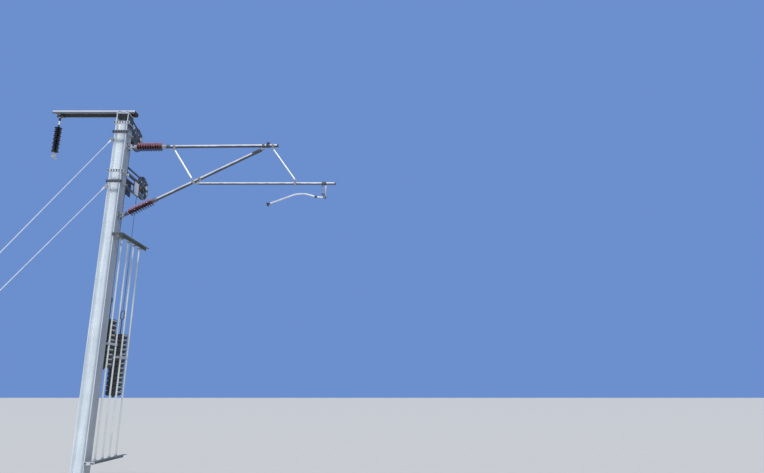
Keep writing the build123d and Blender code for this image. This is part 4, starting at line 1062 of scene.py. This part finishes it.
# %% Pin nuts and end sleeves
arm_pin = np.array([4.480, 0.0, 6.480])
pins = [place - pin_gap * z_axis for place in (brace_top, near_top, far_top)]
pins += [brace_foot + pin_gap * ahead_at(incline + pi / 2), arm_pin]
pins += [(connector_x - 0.040, 0.0, tube_z), (3.850, 0.0, tube_z + pin_gap)]
piece("cantilever_pin_nuts", both_ways(pins, y_axis, 0.016, 0.0165, 0.5), bolt_zinc, "cantilever")

bore, face = 0.0352, 0.0385
sleeves = []
for pin, angle, first, last in ((upper_pin, level, 0.779, 0.862), (lower_pin, incline, 3.020, 3.236)):
    ring = [(first, bore), (first + 0.003, face), (last - 0.003, face), (last, bore)]
    sleeves.append(turned(ring, pin, ahead_at(angle), 48, loop=True))
piece("tube_sleeves", sleeves, dark_zinc, "cantilever")

# %% [markdown]
# ## Yoke and seat
#
# The steady arm hangs from a clamp near the end of the lower tube. A thin rod and a flat strap lead
# down from it to the pin, and two cheeks hold the pin on either side of the arm. The messenger seat
# is a clamp on the upper tube with a trough on top. Turned rings and soft boxes build both: they may
# cut into one another unseen, while a boolean would leave ragged faces.

# %% Yoke of the steady arm
def shell(half, bore, middle, face):
    """A clamp's ring about a tube, drawn in towards its bore at both ends."""
    return [(-half + 0.002, bore), (-half, middle), (-half + 0.002, face),
            (half - 0.002, face), (half, middle), (half - 0.002, bore)]


parts = [turned(shell(0.048, 0.0282, 0.033, 0.0385), (4.471, 0.0, tube_z), x_axis, loop=True)]
for near, far in ((-0.016, -0.008), (0.008, 0.016)):
    parts.append(rounded_box((4.454, near, 6.462), (4.524, far, 6.498)))
    parts.append(rounded_box((4.464, near + 0.0006, 6.490), (4.486, far - 0.0006, 6.562)))
parts.append(rounded_box((4.420, -0.018, 6.550), (4.490, 0.018, 6.568), 0.003))
parts.append(rounded_box((4.494, -0.018, 6.486), (4.522, 0.018, 6.508), 0.003))
parts.append(round_bar(arm_pin - 0.019 * y_axis, arm_pin + 0.019 * y_axis, 0.0080, 0.0010))
piece("steady_yoke", parts, dark_zinc, "cantilever", replaced=["steady_arm_support"])
rod = round_bar((4.432, 0.0, 6.562), (4.432, 0.0, 6.768), 0.0095)
piece("steady_yoke_rod", rod, fitting_zinc, "cantilever")
strap = rounded_box((4.492, -0.006, 6.500), (4.526, 0.006, 6.768), 0.003)
piece("steady_yoke_strap", strap, bolt_zinc, "cantilever")

# %% Messenger seat
parts = [
    trough(0.060, 0.0205, 0.020, 0.0078, 0.010),
    rounded_box((-0.019, -0.030, -0.030), (0.019, 0.030, -0.006), 0.004),
    keeper(0.0005, 0.028, 0.018, 0.013, 0.0076),
]
for row in (-0.018, 0.018):
    for low, high in ((-0.006, -0.001), (0.001, 0.006)):
        parts.append(rounded_box((-0.031, row - 0.007, low), (0.031, row + 0.007, high), 0.001))
    parts.append(fasteners([(x, row, 0.006) for x in (-0.0245, 0.0245)], z_axis, 0.008, 0.6))
ring_centre = on_tube(upper_pin, level, 3.220)
ears, bolts = split_ears(ring_centre, level, 0.045, 0.034)
ring = turned(shell(0.040, 0.0358, 0.040, 0.045), ring_centre, ahead_at(level), 48, loop=True)
parts = [copies(join(parts), (3.220, 0.0, 7.742)), ring, ears]
piece("messenger_wire_seat", parts, dark_zinc, "cantilever", replaced=["messenger_seat"])
piece("messenger_seat_bolts", bolts, bolt_zinc, "cantilever")

# %% [markdown]
# ## The jaws on the contact wire
#
# The contact wire has a groove on either side, and two cast jaws bite into them, pulled together by
# two bolts above the wire. Each jaw is a soft-cornered outline pushed along the wire.
# The arm ends in a collar at the jaws and in a socket at its pin, and the tubes end in domed caps.

# %% Contact wire clamp, socket and tube caps
jaw = mm((1.2, 54), (20, 50), (22, 30), (18, 6), (13, -11),
         (6.5, -12.5), (6, -4), (8.5, 3), (3.5, 10), (1.2, 22))
wire_at = np.array([3.2825, 0.0, 6.302])
start = wire_at - 0.045 * y_axis
parts = [pushed(softened(jaw * (side, 1.0)), 0.090, start, push_along_y, 0.0012) for side in (-1, 1)]
parts.append(both_ways([wire_at + (0.0, row, 0.038) for row in (-0.027, 0.027)], x_axis, 0.0205, 0.009, 0.5))
arm_end, arm_bend = np.array([3.290, 0.0, 6.336]), np.array([3.865, 0.0, 6.556])
collar = mm((12, 16.5), (14, 21.5), (38, 20.5), (46, 17))
parts.append(turned(collar, arm_end, arm_bend - arm_end, 28))
piece("contact_wire_jaws", parts, dark_zinc, "steady_arm", replaced=["contact_wire_clamp"])

toward_arm = np.array([4.300, 0.0, 6.500]) - arm_pin
socket = mm((150, 16.5), (153, 23), (166, 24.5), (196, 24.5), (205, 21.5), (208, 16.5))
piece("steady_arm_socket", turned(socket, arm_pin, toward_arm, 28), dark_zinc, "steady_arm")

caps = []
upper_cap, lower_cap = on_tube(upper_pin, level, 3.440), (tube_end[0], 0.0, tube_z)
for place, angle, radius in ((upper_cap, level, 0.035), (lower_cap, 0.0, 0.0275)):
    rim = mm((-24, 0.6), (-24, 3.6), (0, 4), (2.5, 3)) + (0.0, radius)
    dome = np.array([(0.0045, 0.80), (0.0056, 0.50), (0.0060, 0.15)]) * (1.0, radius)
    caps.append(turned([*rim, *dome], place, ahead_at(angle)))
piece("domed_tube_caps", caps, dark_zinc, "cantilever", replaced=["tube_end_caps"])

# %% [markdown]
# ## Bolts, nuts and welds of the mast
#
# Bars, brackets and frames are bolted to the column and plates are welded to it. The nuts are copies
# at lists of places, worked out from the solids' own sizes. A weld is a round bead that swells a
# little at every pass of the torch, so its radius follows a cosine along the seam.

# %% Nuts of the column clamps
def crossed(first, second):
    """Every pair of a number from one list and a number from another."""
    return [(a, b) for a in first for b in second]


bar_heights = (8.180, 7.960, 7.050, 6.810)
hinge_heights = (upper_pin[2], lower_pin[2])
bracket_heights = (5.640, 1.160)
bar_face, far_face, tie_x = 0.144, 0.164, 0.148
ties = crossed((-tie_x, tie_x), bar_heights) + crossed((tie_x,), bracket_heights)
near_heights = [z + rise for z in bar_heights for rise in (-0.016, 0.016)]
near_bolts = crossed((-0.085, -0.030, 0.030, 0.085), near_heights)
hinge_rows = [z + rise for z in hinge_heights for rise in (-0.050, 0.050)]
hinge_bolts = [(0.142, y, z) for y, z in crossed((-0.066, 0.066), hinge_rows)]
nuts = [
    both_ways([(x, 0.0, z) for x, z in ties], y_axis, bar_face, 0.018, 1.1),
    fasteners([(x, -bar_face, z) for x, z in near_bolts], -y_axis, 0.0115, 0.4),
    fasteners([(x, far_face, z) for x, z in crossed((-0.055, 0.055), bar_heights)], y_axis, 0.016, 0.5),
    fasteners([(x, -bar_face, z) for x, z in crossed((0.262, 0.298), bracket_heights)], -y_axis, 0.014, 0.5),
    fasteners(hinge_bolts, x_axis, 0.016, 0.6),
]
piece("column_nuts", nuts, dark_zinc)

# %% Nuts of hinges, axles, rods and hanger
rod_rows = (0.260, 0.570, 0.861, 1.171)
seats = np.array([(0.135, y, 0.0) for y in rod_rows])
(high, low), half_plate, frame_face = bracket_heights, 0.006, 0.100
hanger_bolts = [(feeder_x + x, y, 8.402) for x, y in crossed((-0.026, 0.026), (-0.084, 0.084))]
nuts = [
    both_ways([upper_pin, lower_pin], z_axis, 0.036, 0.025, 0),
    both_ways([(0.0, y, z) for _, y, z in wheel_axles], x_axis, frame_face, 0.031, 0),
    both_ways(seats + high * z_axis, z_axis, half_plate, 0.034, 0),
    fasteners(seats + (low + half_plate) * z_axis, z_axis, 0.034, 0),
    fasteners(seats + (low - half_plate) * z_axis, -z_axis, 0.034, 0.5),
    fasteners(hanger_bolts, -z_axis, 0.013, 0.6),
]
piece("hinge_and_rod_nuts", nuts, bolt_zinc)
pin_nuts = both_ways([(feeder_x, 0.0, 8.357)], y_axis, 0.015, 0.0185, 0.3)
piece("feeder_pin_nuts", pin_nuts, bolt_zinc, feeder)

# %% Cleats of the arm
cleat = mm((100, 8412), (138, 8412), (138, 8421), (113, 8422), (110, 8425), (110, 8472), (100, 8472))
rows = (-0.085, 0.085)
cleats = [pushed(cleat * (side, 1.0), 0.060, (x - 0.030, 0.0, 0.0), push_along_x, 0.001)
          for side, x in crossed((-1, 1), rows)]
feet = np.array([(x, y, 0.0) for x, y in crossed(rows, (-0.125, 0.125))])
nuts = [
    both_ways([(x, 0.0, 8.448) for x in rows], y_axis, 0.110, 0.015, 0.5),
    fasteners(feet + 8.4215 * z_axis, z_axis, 0.012, 0.4),
    fasteners(feet + 8.400 * z_axis, -z_axis, 0.012, 0.4),
]
piece("arm_cleats", cleats, fitting_zinc)
piece("arm_cleat_bolts", nuts, bolt_zinc)


# %% Root curves of the column
def root_curve(side_x, side_y, radius=0.022):
    """The hollow quarter round between web and flange: (r - r sin t, r - r cos t) from the corner."""
    t = np.linspace(0.0, pi / 2, 9)
    arc = radius * (1.0 - np.column_stack([np.sin(t), np.cos(t)]))
    corner = (side_x * half_depth, side_y * half_web)
    outline = np.concatenate([[(-0.001, -0.001)], arc]) * (-side_x, side_y) + corner
    return skin(layers([(outline, z) for z in (foot_z, 2.0, 4.0, 6.0, head_z)]))


foot_z, head_z, half_depth, half_web, flange = 0.030, 8.400, 0.113, 0.005, 0.130
curves = [root_curve(x, y) for x, y in crossed((-1, 1), (-1, 1))]
piece("column_root_curves", curves, column_zinc, sharp=20.0)


# %% Weld seams
def weld(start, end, radius=0.0045):
    """A bead along a straight seam: r = R (0.86 + 0.14 |cos(pi s / 8 mm)|)."""
    ahead = np.subtract(end, start)
    s = np.arange(0.0, float(np.linalg.norm(ahead)), 0.0020)
    swell = radius * (0.86 + 0.14 * np.abs(np.cos(pi * s / 0.008)))
    return turned(np.column_stack([s, swell]), start, ahead, 8)


thin = 0.0035
seams = [((0.142, -0.030, z + lug), (0.142, 0.030, z + lug), thin)
         for z, lug in crossed(hinge_heights, (-0.036, -0.024, 0.024, 0.036))]
for side in (-1, 1):
    for z in (foot_z, head_z):
        seams += [((side * x, -flange, z), (side * x, flange, z)) for x in (half_depth, flange)]
        seams.append(((-half_depth, side * half_web, z), (half_depth, side * half_web, z)))
    for row in (-0.096, -0.084, 0.084, 0.096):
        foot = (side * flange, row, foot_z)
        seams += [(foot, (side * 0.213, row, foot_z)), (foot, (side * flange, row, 0.228))]
    lug_x = stay_x + side * 0.010
    seams += [((lug_x, -flange, z - 0.034), (lug_x, -flange, z + 0.034)) for z in lug_heights]
    seams.append(((lug_x, -7.065, 0.020), (lug_x, -6.795, 0.020)))
    for low, high in ((8.095, 8.380), (7.115, 7.280), (7.930, 7.990), (6.780, 6.840)):
        seams += [((side * x, far_face, low), (side * x, far_face, high)) for x in (0.090, 0.100)]
    for z, y in crossed(bracket_heights, rod_rows):
        face = z + side * half_plate
        seams.append(((0.240, y - 0.030, face), (0.240, y + 0.030, face), thin))
piece("weld_seams", [weld(*seam) for seam in seams], fitting_zinc, sharp=80.0)

# %% [markdown]
# ## Small parts of wheels and weights
#
# A pale plate is bolted over the lower frame's upright and an axle plate over each frame's end, both
# brighter than the old frames. The weights' guide bands slide on the rods with nylon rings in their
# eyes, and bolts close the bands round the stacks.

# %% Plates on the frames
plate, disc_height = 0.004, 0.006
disc = turned(mm((0, 52), (1, 53), (5, 53), (6, 51)))
wide = rounded_box((0.630, 6.800, 0.0), (0.855, 7.090, plate), 0.001)
plates = [copies(wide, (x, 0.0, 0.0), push_along_x) for x in (-frame_face - plate, frame_face)]
corners = [(0.0, y, z) for y, z in crossed((0.650, 0.835), (6.820, 7.070))]
nuts = [both_ways(corners, x_axis, frame_face + plate, 0.014, 0.5)]
ring = 0.040 * circle(6) @ spun(0.3)[:2, :2].T
for _, y, z in wheel_axles:
    plates += [copies(disc, way * frame_face + (0.0, y, z), turn_to(way)) for way in (-x_axis, x_axis)]
    spots = np.column_stack([np.zeros(6), ring + (y, z)])
    nuts.append(both_ways(spots, x_axis, frame_face + disc_height, 0.008, 0.3))
piece("frame_plates", plates, plate_zinc)
piece("frame_plate_nuts", nuts, bolt_zinc)

# %% Guide band bolts and rings
nylon, point = new_finish("nylon", 0.0, 0.5)
scuff = clouds(point, 90.0, 4.0)
coated(nylon, scuff.blend((0.42, 0.44, 0.43), (0.66, 0.68, 0.66)), None, scuff, 0.2, 0.0008)
half_flanged = mm((-29, 20.4), (-29, 27), (-26, 28), (-25.2, 29.5))
flanged = [*half_flanged, *(half_flanged[::-1] * (-1.0, 1.0))]
for name, y, z in (("upper", upper_row, 3.420), ("lower", lower_row, 3.180)):
    rings = [turned(flanged, (0.135, y + row, z), sides=36, loop=True) for row in (-0.155, 0.155)]
    piece(f"{name}_guide_rings", rings, nylon, f"{name}_weights")
    bolts = [
        both_ways([(x, y, z) for x in (-0.095, 0.055)], y_axis, 0.1325, 0.014, 0.4),
        fasteners([(-0.1325, y + row, z) for row in (-0.095, 0.095)], -x_axis, 0.014, 0.4),
    ]
    piece(f"{name}_guide_bolts", bolts, bolt_zinc, f"{name}_weights")
